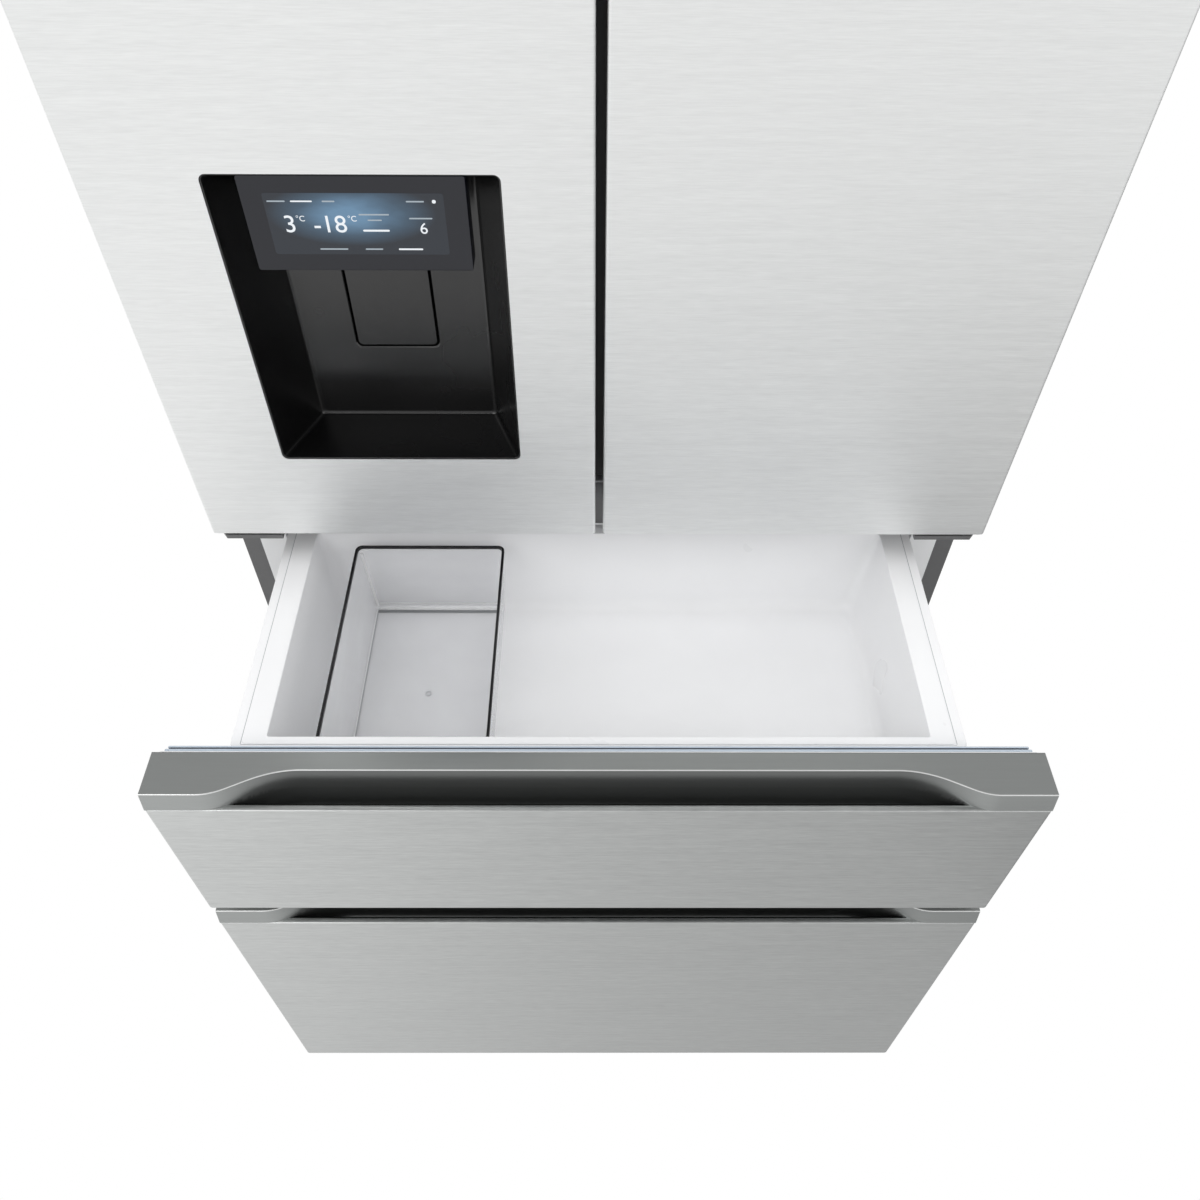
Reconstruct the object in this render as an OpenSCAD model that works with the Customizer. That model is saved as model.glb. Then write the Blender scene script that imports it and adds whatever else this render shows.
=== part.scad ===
/* [Cabinet] */
// Width of the cabinet, of each drawer front and of the pair of doors
cabinet_w = 908; // [890:1:930]
// Height of the cabinet's steel top above the floor
cabinet_h = 1760; // [1740:1:1800]
// Depth with doors and drawers closed, from the door faces to the back
closed_depth = 748; // [735:1:780]
// Thickness of the steel sheet of the case, doors and drawer fronts
sheet_t = 1.2; // [1:0.1:1.6]
// Insulated side and top walls, from the steel to the inside of the liner
wall_t = 56; // [52:1:60]
// Insulated back wall behind the food compartment
back_wall_t = 60; // [54:1:70]
// Thickness of the white plastic liners
liner_t = 2.5; // [2:0.1:3]
// Width of the steel flange round the cabinet's front
flange_w = 22; // [18:1:26]
// Height of the case's lower edge above the floor
case_z = 32; // [30:1:36]
// Depth of the freezer cavity behind the flange, above the machine space
freezer_cavity_d = 574; // [560:1:585]
// Depth of the machine space at the bottom, in front of the back panel
machine_d = 228; // [215:1:240]
// Height of the machine space above the floor
machine_h = 290; // [280:1:300]

/* [Fronts] */
// Height of the bottom drawer front's lower edge above the floor
bottom_front_z = 57.9; // [54:0.1:62]
// Height of the bottom drawer front, with its handle cap
bottom_front_h = 516.8; // [505:0.1:525]
// Gap between the two drawer fronts
drawer_gap = 19.8; // [17:0.1:24]
// Height of the middle drawer front, with its handle cap
middle_front_h = 252.1; // [244:0.1:262]
// Gap between the middle drawer front and the doors
door_gap = 25.4; // [24:0.1:30]
// Gap between the two doors
door_split = 9; // [8:0.5:11]
// Step down from the cabinet's top to the top of the doors
door_step = 4; // [3:0.5:6]
// Depth of the steel box of a door or drawer front
panel_d = 54.6; // [52:0.1:58]
// Thickness of the plastic inner panel's edge behind the steel box
inner_edge_t = 3.8; // [3:0.1:5]
// Inset of that edge from the steel box
inner_edge_inset = 5.3; // [4:0.1:6.5]
// Thickness of a closed gasket
gasket_t = 7.3; // [6:0.1:9]
// Width of a gasket
gasket_w = 16; // [14:0.5:17]
// Inset of a gasket above and below
gasket_inset = 5.5; // [5.5:0.1:9]
// Inset of a drawer gasket on both sides
gasket_side_inset = 9.4; // [8:0.1:11]
// Inset of a door gasket on the hinge side, where the corner swings
gasket_hinge_inset = 16; // [15:0.5:20]
// Inset of a door gasket on the free side
gasket_free_inset = 4; // [3:0.5:5]
// Running gap between a gasket and what it closes on
seal_gap = 0.3; // [0.2:0.1:0.6]
// Overlap of each front over the cabinet's opening, above and below
front_overlap = 24.5; // [24:0.5:27]
// Radius of the folded steel edges
edge_r = 3; // [2:0.5:4]

/* [Doors] */
// Height of the plastic caps that close a door's top and bottom
door_cap_h = 20; // [18:1:24]
// Depth of the rib that stands round the inside of a door
rib_d = 40; // [34:1:46]
// Width of that rib
rib_w = 20; // [16:1:24]
// Gap between the rib and the walls of the food compartment
rib_gap = 6; // [4:0.5:8]
// Distance from a door's free edge to that rib
rib_free_inset = 41.5; // [41:0.5:46]
// Distance from a door's outer side to its hinge pins
hinge_inset = 17; // [16.5:0.5:18]
// Distance from the door faces back to the hinge pins
hinge_y = 30; // [29:0.5:31]
// Radius of the lower hinge pins
lower_pin_r = 5; // [4:0.1:6]
// Radius of the upper hinge pins
upper_pin_r = 4; // [3:0.1:5]
// Radial running gap of every pin and axle
pin_gap = 0.05; // [0.03:0.01:0.08]
// Depth of the finger groove under a door
groove_h = 16; // [12:1:17]
// Length of that groove
groove_len = 180; // [150:5:220]
// Depth of a door bin
bin_d = 105; // [90:1:110]
// Height of a door bin
bin_h = 78; // [60:1:90]
// Wall of a bin, crisper or ice bucket
bin_t = 2.5; // [2:0.1:3]

/* [Middle flap] */
// Width of the flap that closes the gap between the doors from behind
flap_w = 64; // [60:1:66]
// Thickness of that flap
flap_t = 16; // [14:1:17]
// Gap between the flap's hinge pins and its edge
flap_hinge_gap = 3; // [3:0.5:4]
// Distance from the flap's front face back to its hinge pins
flap_hinge_y = 10; // [9:0.5:11]
// Radius of the flap's hinge knuckles
knuckle_r = 4; // [4:0.5:5]
// Radius of the flap's hinge pins
flap_pin_r = 1.5; // [1.5:0.1:2]
// Length of a knuckle
knuckle_len = 20; // [16:1:30]
// Length of a boss on each side of a knuckle
boss_len = 12; // [10:1:16]

/* [Dispenser] */
// Distance from the door's outer side to the dispenser's recess
recess_side = 110.6; // [105:0.1:114]
// Width of the recess at the door's face
recess_w = 255.9; // [250:0.1:260]
// Height of the recess's floor above the door's lower edge
recess_up = 118; // [112:1:124]
// Height of the recess
recess_h = 318; // [310:1:324]
// Depth of the recess
recess_d = 77; // [72:1:80]
// Inward lean of each side wall of the recess
recess_lean = 29; // [24:0.5:32]
// Corner radius of the recess
recess_r = 5; // [4:0.5:7]
// Wall of the recess's housing
housing_t = 3; // [2.5:0.1:4]
// Width of the display
display_w = 197; // [190:1:200]
// Height of the display
display_h = 90; // [84:1:96]
// Thickness of the display
display_t = 23; // [18:1:26]
// Set back of the display's glass from the door's face
display_back = 0.4; // [0.2:0.1:1]
// Width of the paddle
paddle_w = 84.5; // [80:0.5:90]
// Thickness of the paddle
paddle_t = 4; // [3:0.1:5]
// Height of the paddle's lower edge above the recess's floor
paddle_up = 92; // [86:1:98]
// Height of the paddle
paddle_h = 158; // [152:1:162]
// Gap round the paddle
paddle_gap = 2; // [1.5:0.1:3]
// Depth of the pocket that the paddle swings back into
paddle_pocket_d = 27; // [25:1:30]
// Radius of the paddle's hinge pin
paddle_pin_r = 2; // [1.6:0.1:2.5]
// Radius of the paddle's hinge barrel
paddle_barrel_r = 5; // [4.5:0.1:5.5]
// Width of the ice chute's passage
chute_w = 70; // [60:1:72]
// Depth of the ice chute's passage
chute_d = 30; // [24:1:32]
// Height of the ice compartment's floor above the recess
ice_floor_up = 37; // [32:1:44]
// Depth of the ice compartment behind the door's inner panel
ice_d = 116; // [105:1:118]
// Insulated wall of the ice compartment
ice_wall = 15; // [12:1:18]
// Height of the ice maker at the top of that compartment
ice_maker_h = 105; // [95:1:120]

/* [Drawer fronts] */
// How far both drawers stand open
drawer_open = 338.6; // [320:0.1:345]
// Height of the handle cap along a drawer front's top
cap_h = 23.1; // [20:0.1:26]
// Set back of the cap's upper edge from the steel face
cap_setback = 4.7; // [4:0.1:6]
// Lean of the cap's face over its height
cap_lean = 4.3; // [3:0.1:5]
// Set back of the finger scoop behind the cap's upper edge
scoop_d = 28.2; // [26:0.1:30]
// Distance from the front's side to where the scoop starts
scoop_side = 55; // [50:1:62]
// Length over which the scoop curves in
scoop_in = 28; // [24:1:32]
// Length of the scoop's straight slope
scoop_ramp = 19; // [15:1:24]
// Length over which the scoop curves out
scoop_out = 52; // [44:1:60]
// Width of the steel lip in front of the finger pocket
lip_w = 6.4; // [5:0.1:8]
// Depth of the finger pocket below the lip
pocket_h = 37; // [32:1:42]
// Wall of the finger pocket
pocket_t = 2; // [1.5:0.1:3]

/* [Drawers] */
// Gap between a basket's rim and the top of its cavity
rim_gap = 3; // [2.5:0.5:4]
// Thickness of a basket's rim
rim_t = 3; // [2.5:0.1:4]
// Wall of a basket
basket_t = 2.5; // [2:0.1:3]
// Gap between a basket's rim and the cavity's wall
rim_side_gap = 9; // [8:0.1:11]
// Width of the rim on each side of a basket
rim_side_w = 37; // [35:0.5:38]
// Width of the rim along a basket's front
rim_front_w = 13.1; // [12:0.1:15]
// Width of the rim along a basket's back
rim_back_w = 20; // [16:1:24]
// Distance from the closed drawer's face to its basket's rim
basket_y = 78; // [77:0.1:80]
// Depth of the middle basket, front to back
basket_d = 333.6; // [318:0.1:338]
// Inward lean of a basket's side walls
basket_lean = 14; // [10:1:16]
// Inward lean of a basket's front and back walls
basket_front_lean = 6; // [4:0.5:8]
// Height of the middle basket, from the floor's upper face to the rim
middle_basket_h = 122; // [112:1:126]
// Height of the bottom basket, from the floor's upper face to the rim
bottom_basket_h = 300; // [280:1:310]
// Height of the bottom basket's rim above its cavity's floor
bottom_rim_up = 330; // [322:1:336]
// Gap between a slide's channel and the cavity's wall
slide_inset = 8; // [7:0.5:9]
// Height of a slide's channel
channel_h = 45; // [40:1:48]
// Depth of a slide's channel
channel_d = 12; // [11:0.5:12.5]
// Sheet of the slides
channel_t = 1.5; // [1.2:0.1:1.8]
// Length of the channels on the cabinet
channel_len = 440; // [430:1:450]
// Running gap between the slides' members
slide_gap = 0.5; // [0.4:0.1:0.6]
// Height of the tray above the bottom basket
tray_h = 84; // [70:1:88]
// Depth of the tray, front to back
tray_d = 320; // [300:1:325]
// Gap between the bottom basket's rim and the tray's floor
tray_up = 16; // [12:1:18]

/* [Organiser] */
// Distance from the basket's left wall to the organiser
organiser_side = 50.5; // [44:0.5:60]
// Width of the organiser
organiser_w = 183; // [170:1:190]
// Depth of the organiser, front to back
organiser_d = 282.3; // [264:0.1:284]
// Set down of the organiser's rim from the basket's rim
organiser_down = 6; // [5:0.5:9]
// Inward lean of the organiser's walls
organiser_lean = 8; // [5:0.5:9]
// Wall of the organiser
organiser_t = 2; // [1.6:0.1:2.5]
// Width of the organiser's black rim
organiser_rim_w = 2.5; // [2:0.1:4]
// Height of that rim
organiser_rim_h = 4.5; // [3.5:0.1:6]
// Gap between the organiser's front and the basket's front wall
organiser_front_gap = 2.1; // [2:0.1:3]

/* [Food compartment] */
// Set back of the shelves from the door faces
shelf_y = 190; // [185:1:200]
// Gap between the shelves and the air duct
shelf_back_gap = 49; // [40:1:60]
// Height of the lowest shelf above the compartment's floor
first_shelf_up = 110; // [104:1:116]
// Height of the second shelf above the compartment's floor
second_shelf_up = 285; // [275:1:295]
// Distance of the third shelf below the compartment's top
third_shelf_down = 327.5; // [318:0.5:336]
// Distance of the top shelf below the compartment's top
top_shelf_down = 157.5; // [150:0.5:170]
// Height of a shelf's frame
shelf_h = 10; // [8:0.5:12]
// Width of a shelf's frame
shelf_rim = 18; // [14:1:22]
// Thickness of the glass
glass_t = 5; // [4:0.5:6]
// Gap between a shelf or a drawer and the walls
shelf_gap = 2; // [1.5:0.5:3]
// Width of the ledges that carry the shelves
ledge_w = 9; // [8:0.5:12]
// Height of those ledges
ledge_h = 6; // [5:0.5:8]
// Width of the air duct on the back wall
duct_w = 240; // [200:5:260]
// Thickness of the air duct
duct_t = 26; // [22:1:30]

/* [Base] */
// Radius of a levelling foot
foot_r = 18; // [15:1:22]
// Height of the pad of a levelling foot
foot_h = 10; // [8:1:12]
// Radius of a levelling foot's stem
stem_r = 6; // [5:0.5:7]
// Distance from the cabinet's side to a foot or a roller
foot_inset = 54; // [50:1:60]
// Distance from the door faces to the feet
foot_y = 100; // [95:1:110]
// Radius of a roller
roller_r = 20; // [18:1:22]
// Width of a roller
roller_w = 20; // [16:1:24]
// Radius of a roller's axle
axle_r = 4; // [3:0.1:5]
// Distance from the back to the rollers
roller_back = 60; // [50:1:70]
// Length of a foot's stem above its pad
stem_len = 42; // [38:1:46]
// Radius of the condenser's fan
fan_r = 78; // [70:1:80]
// Radius of the freezer's fan
cold_fan_r = 55; // [48:1:58]

/* [Hidden] */
$fn = 48;

// Colours, as the photograph shows them
silver = [0.80, 0.81, 0.81];
silver_mid = [0.72, 0.73, 0.73];
cap_grey = [0.52, 0.53, 0.53];
case_grey = [0.38, 0.38, 0.39];
white = [0.93, 0.93, 0.94];
gasket_grey = [0.80, 0.82, 0.85];
black = [0.06, 0.06, 0.065];
clear_grey = [0.78, 0.79, 0.81, 0.8];
steel = [0.66, 0.67, 0.69];
foam_tint = [0.92, 0.86, 0.62];
copper = [0.72, 0.42, 0.27];

// A small overshoot for cuts that pass through a face
eps = 1;
skim = 0.01;

// Planes of the closed appliance: x from the middle, y from the door faces, z from the floor
half_w = cabinet_w / 2;
edge_y = panel_d + inner_edge_t;
gasket_y = edge_y + gasket_t;
flange_y = gasket_y + seal_gap;
socket_rim_t = 3;
back_y = closed_depth - socket_rim_t;
cavity_x = half_w - wall_t;
front_shift = (drawer_open - closed_depth) / 2;

middle_front_z = bottom_front_z + bottom_front_h + drawer_gap;
middle_front_top = middle_front_z + middle_front_h;
bottom_front_top = bottom_front_z + bottom_front_h;
door_z = middle_front_top + door_gap;
door_top = cabinet_h - door_step;
bottom_cavity_z = bottom_front_z + front_overlap;
bottom_cavity_top = bottom_front_top - front_overlap;
middle_cavity_z = middle_front_z + front_overlap;
middle_cavity_top = middle_front_top - front_overlap;
fridge_z = door_z + front_overlap;
fridge_top = cabinet_h - wall_t;
fridge_back = back_y - back_wall_t;
freezer_back = flange_y + freezer_cavity_d;
machine_y = back_y - machine_d;
step_wall_h = 16;
step_wall_d = 18;
step_z = machine_h + step_wall_h;
step_y = machine_y - step_wall_d;
lip_x = half_w - flange_w;
lip_t = 2;
pan_t = 2;
pan_top = case_z + pan_t;

// The doors' inner faces and ribs
free_x = door_split / 2;
rib_out_x = cavity_x - rib_gap;
rib_in_x = free_x + rib_free_inset;
rib_z = fridge_z + rib_gap;
rib_top = fridge_top - rib_gap;
rib_y = edge_y + rib_d;
liner_gap = 0.2;
hinge_x = half_w - hinge_inset;

// The flap behind the gap between the doors
flap_x = -flap_w / 2 - flap_hinge_gap;
flap_axis_y = flange_y + flap_hinge_y;
flap_end_gap = 4;
flap_z = rib_z + flap_end_gap;
flap_top = rib_top - flap_end_gap;
knuckle_gap = 0.3;
knuckle_in = 20;
knuckle_zs = [flap_z + knuckle_in,
    flap_top - knuckle_in - 2 * boss_len - knuckle_len - 2 * knuckle_gap];

// The dispenser, from the left door's outer side
recess_x = -half_w + recess_side;
recess_z = door_z + recess_up;
recess_top = recess_z + recess_h;
recess_right = recess_x + recess_w;
recess_mid = recess_x + recess_w / 2;
display_x = recess_mid - display_w / 2;
paddle_x = recess_mid - paddle_w / 2;
paddle_z = recess_z + paddle_up;
paddle_top = paddle_z + paddle_h;
paddle_back_gap = 2;
paddle_pin_down = 4;
bulge_back_t = 15;
bulge_floor_t = 13;
paddle_axis_y = recess_d + paddle_barrel_r + paddle_back_gap;
paddle_axis_z = paddle_top - paddle_pin_down;
pocket_back = recess_d + paddle_pocket_d;
bulge_y = pocket_back + housing_t + bulge_back_t;
bulge_z = recess_z - housing_t - bulge_floor_t;
ice_z = recess_top + ice_floor_up;
ice_y = edge_y + ice_d;
chute_wall = 3;
chute_in = 12;
chute_drop = 78;
chute_top_y = edge_y + chute_in;
chute_low_y = 36;
chute_low_z = recess_top - chute_drop;
bucket_gap = 4;

// The slides and the baskets
middle_rim_z = middle_cavity_top - rim_gap;
middle_floor_z = middle_rim_z - middle_basket_h;
bottom_rim_z = bottom_cavity_z + bottom_rim_up;
bottom_floor_z = bottom_rim_z - bottom_basket_h;
rim_x = cavity_x - rim_side_gap;
wall_x = rim_x - rim_side_w;
rim_y = basket_y;
inner_y = basket_y + rim_front_w;
rim_back = basket_y + basket_d;
inner_back = rim_back - rim_back_w;
channel_in = 6;
channel_y = flange_y + channel_in;
channel_back = channel_y + channel_len;
slide_x = cavity_x - slide_inset;
rail_proud = 1.3;
rail_short = 12;
rail_out_x = slide_x - channel_t - slide_gap;
rail_in_x = slide_x - channel_d - rail_proud;
rail_back = channel_back - rail_short;
bracket_w = 11;
tray_floor_z = bottom_rim_z + tray_up;
tray_rim_z = tray_floor_z + tray_h;
runner_w = 10;
runner_h = 12;

// The organiser in the middle basket
organiser_left = -wall_x + organiser_side;
organiser_right = organiser_left + organiser_w;
organiser_y = inner_y + organiser_front_gap;
organiser_back = organiser_y + organiser_d;
organiser_seat = 0.3;
organiser_z = middle_floor_z + organiser_seat;
organiser_top = middle_rim_z - organiser_down;

// The shelves, as heights above the compartment's floor
fridge_h = fridge_top - fridge_z;
shelf_zs = [first_shelf_up, second_shelf_up, fridge_h - third_shelf_down, fridge_h - top_shelf_down];
shelf_back = fridge_back - duct_t - shelf_back_gap;

// The hinge plates
bracket_side = 6.4;
bracket_reach = 79.5;
bracket_gap = 4;
bracket_out_x = half_w - bracket_side;
bracket_in_x = half_w - bracket_reach;
bracket_front = 2;
bracket_t = 6;
bracket_top = door_z - bracket_gap;
bracket_flange_t = 4;
washer_r = 9;
lower_pin_len = 17;
upper_pin_len = 18;
top_plate_t = 3;
top_plate_reach = 104;
top_plate_side = 7;
top_plate_in_x = half_w - top_plate_reach;
top_plate_out_x = half_w - top_plate_side;
top_plate_front = 14;
top_plate_back = 150;
screw_r = 3;
screw_gap = 0.1;
screw_head_r = 5;
screw_head_h = 3;
screw_pitch = 22;
screw_stagger = 10;
top_screw_side = 82;
top_screw_in = 22;
lower_screw_side = 28;
lower_screw_drop = 7;
top_screw_x = half_w - top_screw_side;
top_screw_y = flange_y + top_screw_in;
top_screws = [for (i = [0:2])
    [top_screw_x + i * screw_pitch, top_screw_y + screw_stagger * (i % 2), cabinet_h]];
lower_screw_x = half_w - lower_screw_side;
lower_screw_z = bracket_top - bracket_t - lower_screw_drop;
lower_screws = [for (i = [0:2]) [lower_screw_x - i * screw_pitch, flange_y, lower_screw_z]];
cover_h = 17;
cover_t = 2;

// The machine space
pan_centre_y = machine_y + machine_d / 2;
fan_x = -60;
fan_lift = 30;
fan_reach = 22;
fan_z = pan_top + fan_r + fan_lift;
fan_pin_r = 3;
fan_front_x = fan_x - fan_reach;
coil_r = 4;
coil_pitch = 32;
coil_levels = 6;
coil_side = 60;
coil_fan_gap = 70;
coil_left = coil_side - half_w;
coil_right = fan_x - coil_fan_gap;

// The freezer's cold air parts
evaporator_w = 520;
evaporator_d = 74;
cold_fan_down = 90;
cover_y = freezer_back - evaporator_d;
cold_fan_z = bottom_cavity_top - cold_fan_down;

// The appliance, with its closed front plane moved so that the part's box is centred
module place() {
    translate([0, front_shift, 0]) children();
}

// A drawer pulled out by its travel
module pulled() {
    translate([0, front_shift - drawer_open, 0]) children();
}

// A box between two corners
module block(low, high) {
    translate(low) cube(high - low);
}

// The shape and its mirror image across the middle
module both() {
    children();
    mirror([1, 0, 0]) children();
}

// An outline in x and z, drawn from y0 back to y1
module prism_y(y0, y1) {
    translate([0, y1, 0]) rotate([90, 0, 0]) linear_extrude(y1 - y0) children();
}

// An outline in y and z, drawn from x0 to x1
module prism_x(x0, x1) {
    translate([x0, 0, 0]) rotate([90, 0, 90]) linear_extrude(x1 - x0) children();
}

// An outline in x and y, drawn from z0 up to z1
module prism_z(z0, z1) {
    translate([0, 0, z0]) linear_extrude(z1 - z0) children();
}

// A rod from a point towards +x
module rod_x(at, r, len) {
    translate(at) rotate([0, 90, 0]) cylinder(r = r, h = len);
}

// A rod from a point towards the front
module rod_front(at, r, len) {
    translate(at) rotate([90, 0, 0]) cylinder(r = r, h = len);
}

// A rod from a point upwards
module rod_z(at, r, len) {
    translate(at) cylinder(r = r, h = len);
}

// A rectangle with round corners between two corner points
module round_rect(low, high, r) {
    translate([low[0] + r, low[1]]) square([high[0] - low[0] - 2 * r, high[1] - low[1]]);
    translate([low[0], low[1] + r]) square([high[0] - low[0], high[1] - low[1] - 2 * r]);
    for (x = [low[0] + r, high[0] - r], y = [low[1] + r, high[1] - r]) translate([x, y]) circle(r);
}

// A box whose four walls lean: one rectangle below, another above, each as [x0, x1, y0, y1]
module leaning_box(below, above, z0, z1) {
    y0 = min(below[2], above[2]);
    y1 = max(below[3], above[3]);
    x0 = min(below[0], above[0]);
    x1 = max(below[1], above[1]);
    intersection() {
        prism_y(y0, y1) polygon([[below[0], z0], [below[1], z0], [above[1], z1], [above[0], z1]]);
        prism_x(x0, x1) polygon([[below[2], z0], [below[3], z0], [above[3], z1], [above[2], z1]]);
    }
}

// The same rectangle grown by a wall all round
function grown(r, t) = [r[0] - t, r[1] + t, r[2] - t, r[3] + t];

// A liner open at the front: a shell round one cavity
module liner_shell(low, high) {
    t = [liner_t, liner_t, liner_t];
    difference() {
        block([low[0] - liner_t, low[1], low[2] - liner_t], high + t);
        block([low[0], low[1] - eps, low[2]], high);
    }
}

// A flat strip of the liner beside an opening, flush with the steel flange
module liner_lip(z0, z1) {
    both() block([cavity_x, flange_y, z0], [lip_x, flange_y + lip_t, z1]);
}

module case_wrap() {
    in_x = half_w - sheet_t;
    in_top = cabinet_h - sheet_t;
    color(case_grey) place() {
        difference() {
            block([-half_w, flange_y, case_z], [half_w, back_y - sheet_t, cabinet_h]);
            block([-in_x, flange_y - eps, case_z - eps], [in_x, back_y, in_top]);
        }
        difference() {
            block([-in_x, flange_y, case_z], [in_x, flange_y + sheet_t, in_top]);
            block([-lip_x, flange_y - eps, case_z - eps],
                [lip_x, flange_y + 2 * sheet_t, cabinet_h - flange_w]);
        }
    }
}

// The back panel above and the slotted machine cover below it
module rear_panels() {
    slot = [70, 3 * sheet_t, 7];
    slot_rows = 9;
    slot_near = 150;
    slot_step = 90;
    slot_xs = concat([for (i = [0:2]) -slot_near - i * slot_step],
        [for (i = [0:1]) slot_near + i * slot_step]);
    slot_up = 52;
    first_slot_z = case_z + slot_up;
    cut_y = back_y - 2 * sheet_t;
    color(steel) place() {
        block([-half_w, back_y - sheet_t, machine_h + sheet_t], [half_w, back_y, cabinet_h]);
        difference() {
            block([-half_w, back_y - sheet_t, case_z], [half_w, back_y, machine_h]);
            for (x = slot_xs, row = [0:slot_rows - 1])
                translate([x - slot[0] / 2, cut_y, first_slot_z + row * 2 * slot[2]]) cube(slot);
            block([inlet_x, cut_y, inlet_z], [inlet_x + inlet_w, back_y + eps, inlet_z + inlet_h]);
        }
    }
}

// The chassis: a steel pan with bosses for the feet and forks for the rollers
fork_gap = 3;
fork_t = 3;
fork_half_d = 14;
fork_drop = 9;
well_r = roller_r + 4;
boss_r = stem_r + 5;
boss_z = foot_h + 6;
boss_top = foot_h + stem_len + 2;
roller_y = back_y - roller_back;
roller_x = half_w - foot_inset;
module base_frame() {
    fork_x = roller_w / 2 + fork_gap;
    fork_left = roller_x - fork_x - fork_t;
    foot_x = half_w - foot_inset;
    color(steel) place() {
        difference() {
            union() {
                block([-half_w + sheet_t, flange_y + sheet_t, case_z],
                    [half_w - sheet_t, back_y - sheet_t, pan_top]);
                both() rod_z([foot_x, foot_y, boss_z], boss_r, boss_top - boss_z);
            }
            both() rod_z([foot_x, foot_y, 0], stem_r + pin_gap, boss_top + eps);
            both() block([roller_x - fork_x, roller_y - well_r, case_z - eps],
                [roller_x + fork_x, roller_y + well_r, pan_top + eps]);
        }
        both() for (x = [fork_left, roller_x + fork_x])
            block([x, roller_y - fork_half_d, roller_r - fork_drop],
                [x + fork_t, roller_y + fork_half_d, case_z]);
        both() rod_x([fork_left, roller_y, roller_r], axle_r, 2 * (fork_x + fork_t));
    }
}

// Foam between the case and the liners
module insulation() {
    side_x = half_w - sheet_t;
    liner_x = cavity_x + liner_t;
    cavities = [[fridge_z, fridge_back, fridge_top], [middle_cavity_z, middle_back, middle_cavity_top],
        [bottom_cavity_z, step_y, bottom_cavity_top], [step_z, freezer_back, bottom_cavity_top]];
    lips = [[fridge_z, cabinet_h - flange_w], [middle_cavity_z, middle_cavity_top],
        [bottom_cavity_z, bottom_cavity_top]];
    color(foam_tint) place() difference() {
        block([-side_x, flange_y + sheet_t, pan_top], [side_x, back_y - sheet_t, cabinet_h - sheet_t]);
        block([-side_x - eps, machine_y, pan_top - eps], [side_x + eps, back_y, machine_h]);
        for (c = cavities)
            block([-liner_x, flange_y, c[0] - liner_t], [liner_x, c[1] + liner_t, c[2] + liner_t]);
        for (z = lips) both() block([cavity_x, flange_y, z[0]], [lip_x, flange_y + lip_t, z[1]]);
        block([-cavity_x, flange_y, fridge_top], [cavity_x, flange_y + lip_t, cabinet_h - flange_w]);
        for (z = rail_spans) block([-lip_x, flange_y, z[0]], [lip_x, flange_y + rail_t, z[1]]);
        both() rod_z([half_w - foot_inset, foot_y, 0], boss_r, boss_top);
    }
}

module fridge_liner() {
    color(white) place() {
        liner_shell([-cavity_x, flange_y, fridge_z], [cavity_x, fridge_back, fridge_top]);
        liner_lip(fridge_z, cabinet_h - flange_w);
        block([-cavity_x, flange_y, fridge_top + liner_t],
            [cavity_x, flange_y + lip_t, cabinet_h - flange_w]);
        for (z = shelf_zs) both()
            block([cavity_x - ledge_w, shelf_y, fridge_z + z - ledge_h],
                [cavity_x, shelf_back, fridge_z + z]);
    }
}

// The two drawers' liners; the lower one steps forward over the machine space
middle_back = channel_back + 20;
module drawer_liners() {
    color(white) place() {
        liner_shell([-cavity_x, flange_y, middle_cavity_z], [cavity_x, middle_back, middle_cavity_top]);
        liner_lip(middle_cavity_z, middle_cavity_top);
        liner_lip(bottom_cavity_z, bottom_cavity_top);
        difference() {
            union() {
                block([-cavity_x - liner_t, flange_y, bottom_cavity_z - liner_t],
                    [cavity_x + liner_t, step_y + liner_t, bottom_cavity_top + liner_t]);
                block([-cavity_x - liner_t, flange_y, step_z - liner_t],
                    [cavity_x + liner_t, freezer_back + liner_t, bottom_cavity_top + liner_t]);
            }
            block([-cavity_x, flange_y - eps, bottom_cavity_z], [cavity_x, step_y, bottom_cavity_top]);
            block([-cavity_x, flange_y - eps, step_z], [cavity_x, freezer_back, bottom_cavity_top]);
        }
    }
}

// Steel rails across the front, above and below the drawers
rail_t = 1.5;
rail_spans = [[pan_top, bottom_cavity_z - liner_t],
    [bottom_cavity_top + liner_t, middle_cavity_z - liner_t],
    [middle_cavity_top + liner_t, fridge_z - liner_t]];
module front_rails() {
    color(case_grey) place()
        for (z = rail_spans) block([-lip_x, flange_y, z[0]], [lip_x, flange_y + rail_t, z[1]]);
}

module toe_grille() {
    grille_y = flange_y - 10;
    grille_back = grille_y + 3;
    grille_x = half_w - 8;
    floor_gap = 10;
    tongue_z = case_z + 2;
    slot_w = 60;
    slot_h = 4;
    slot_pitch = 74;
    color(case_grey) place() difference() {
        union() {
            block([-grille_x, grille_y, floor_gap], [grille_x, grille_back, bottom_front_z - 6]);
            block([-grille_x, grille_y, tongue_z], [grille_x, flange_y, tongue_z + 3]);
        }
        for (x = [-5 * slot_pitch:slot_pitch:5 * slot_pitch], z = [16, 24])
            block([x - slot_w / 2, grille_y - eps, z], [x + slot_w / 2, grille_back + eps, z + slot_h]);
    }
}

// Hinge plates on the cabinet's top, with a pin down into each door
module top_hinges() {
    color(steel) place() both() {
        difference() {
            block([top_plate_in_x, top_plate_front, cabinet_h],
                [top_plate_out_x, top_plate_back, cabinet_h + top_plate_t]);
            for (at = top_screws) rod_z(at - [0, 0, eps], screw_r + screw_gap, top_plate_t + 2 * eps);
        }
        rod_z([hinge_x, hinge_y, cabinet_h - upper_pin_len], upper_pin_r, upper_pin_len);
    }
}

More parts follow.
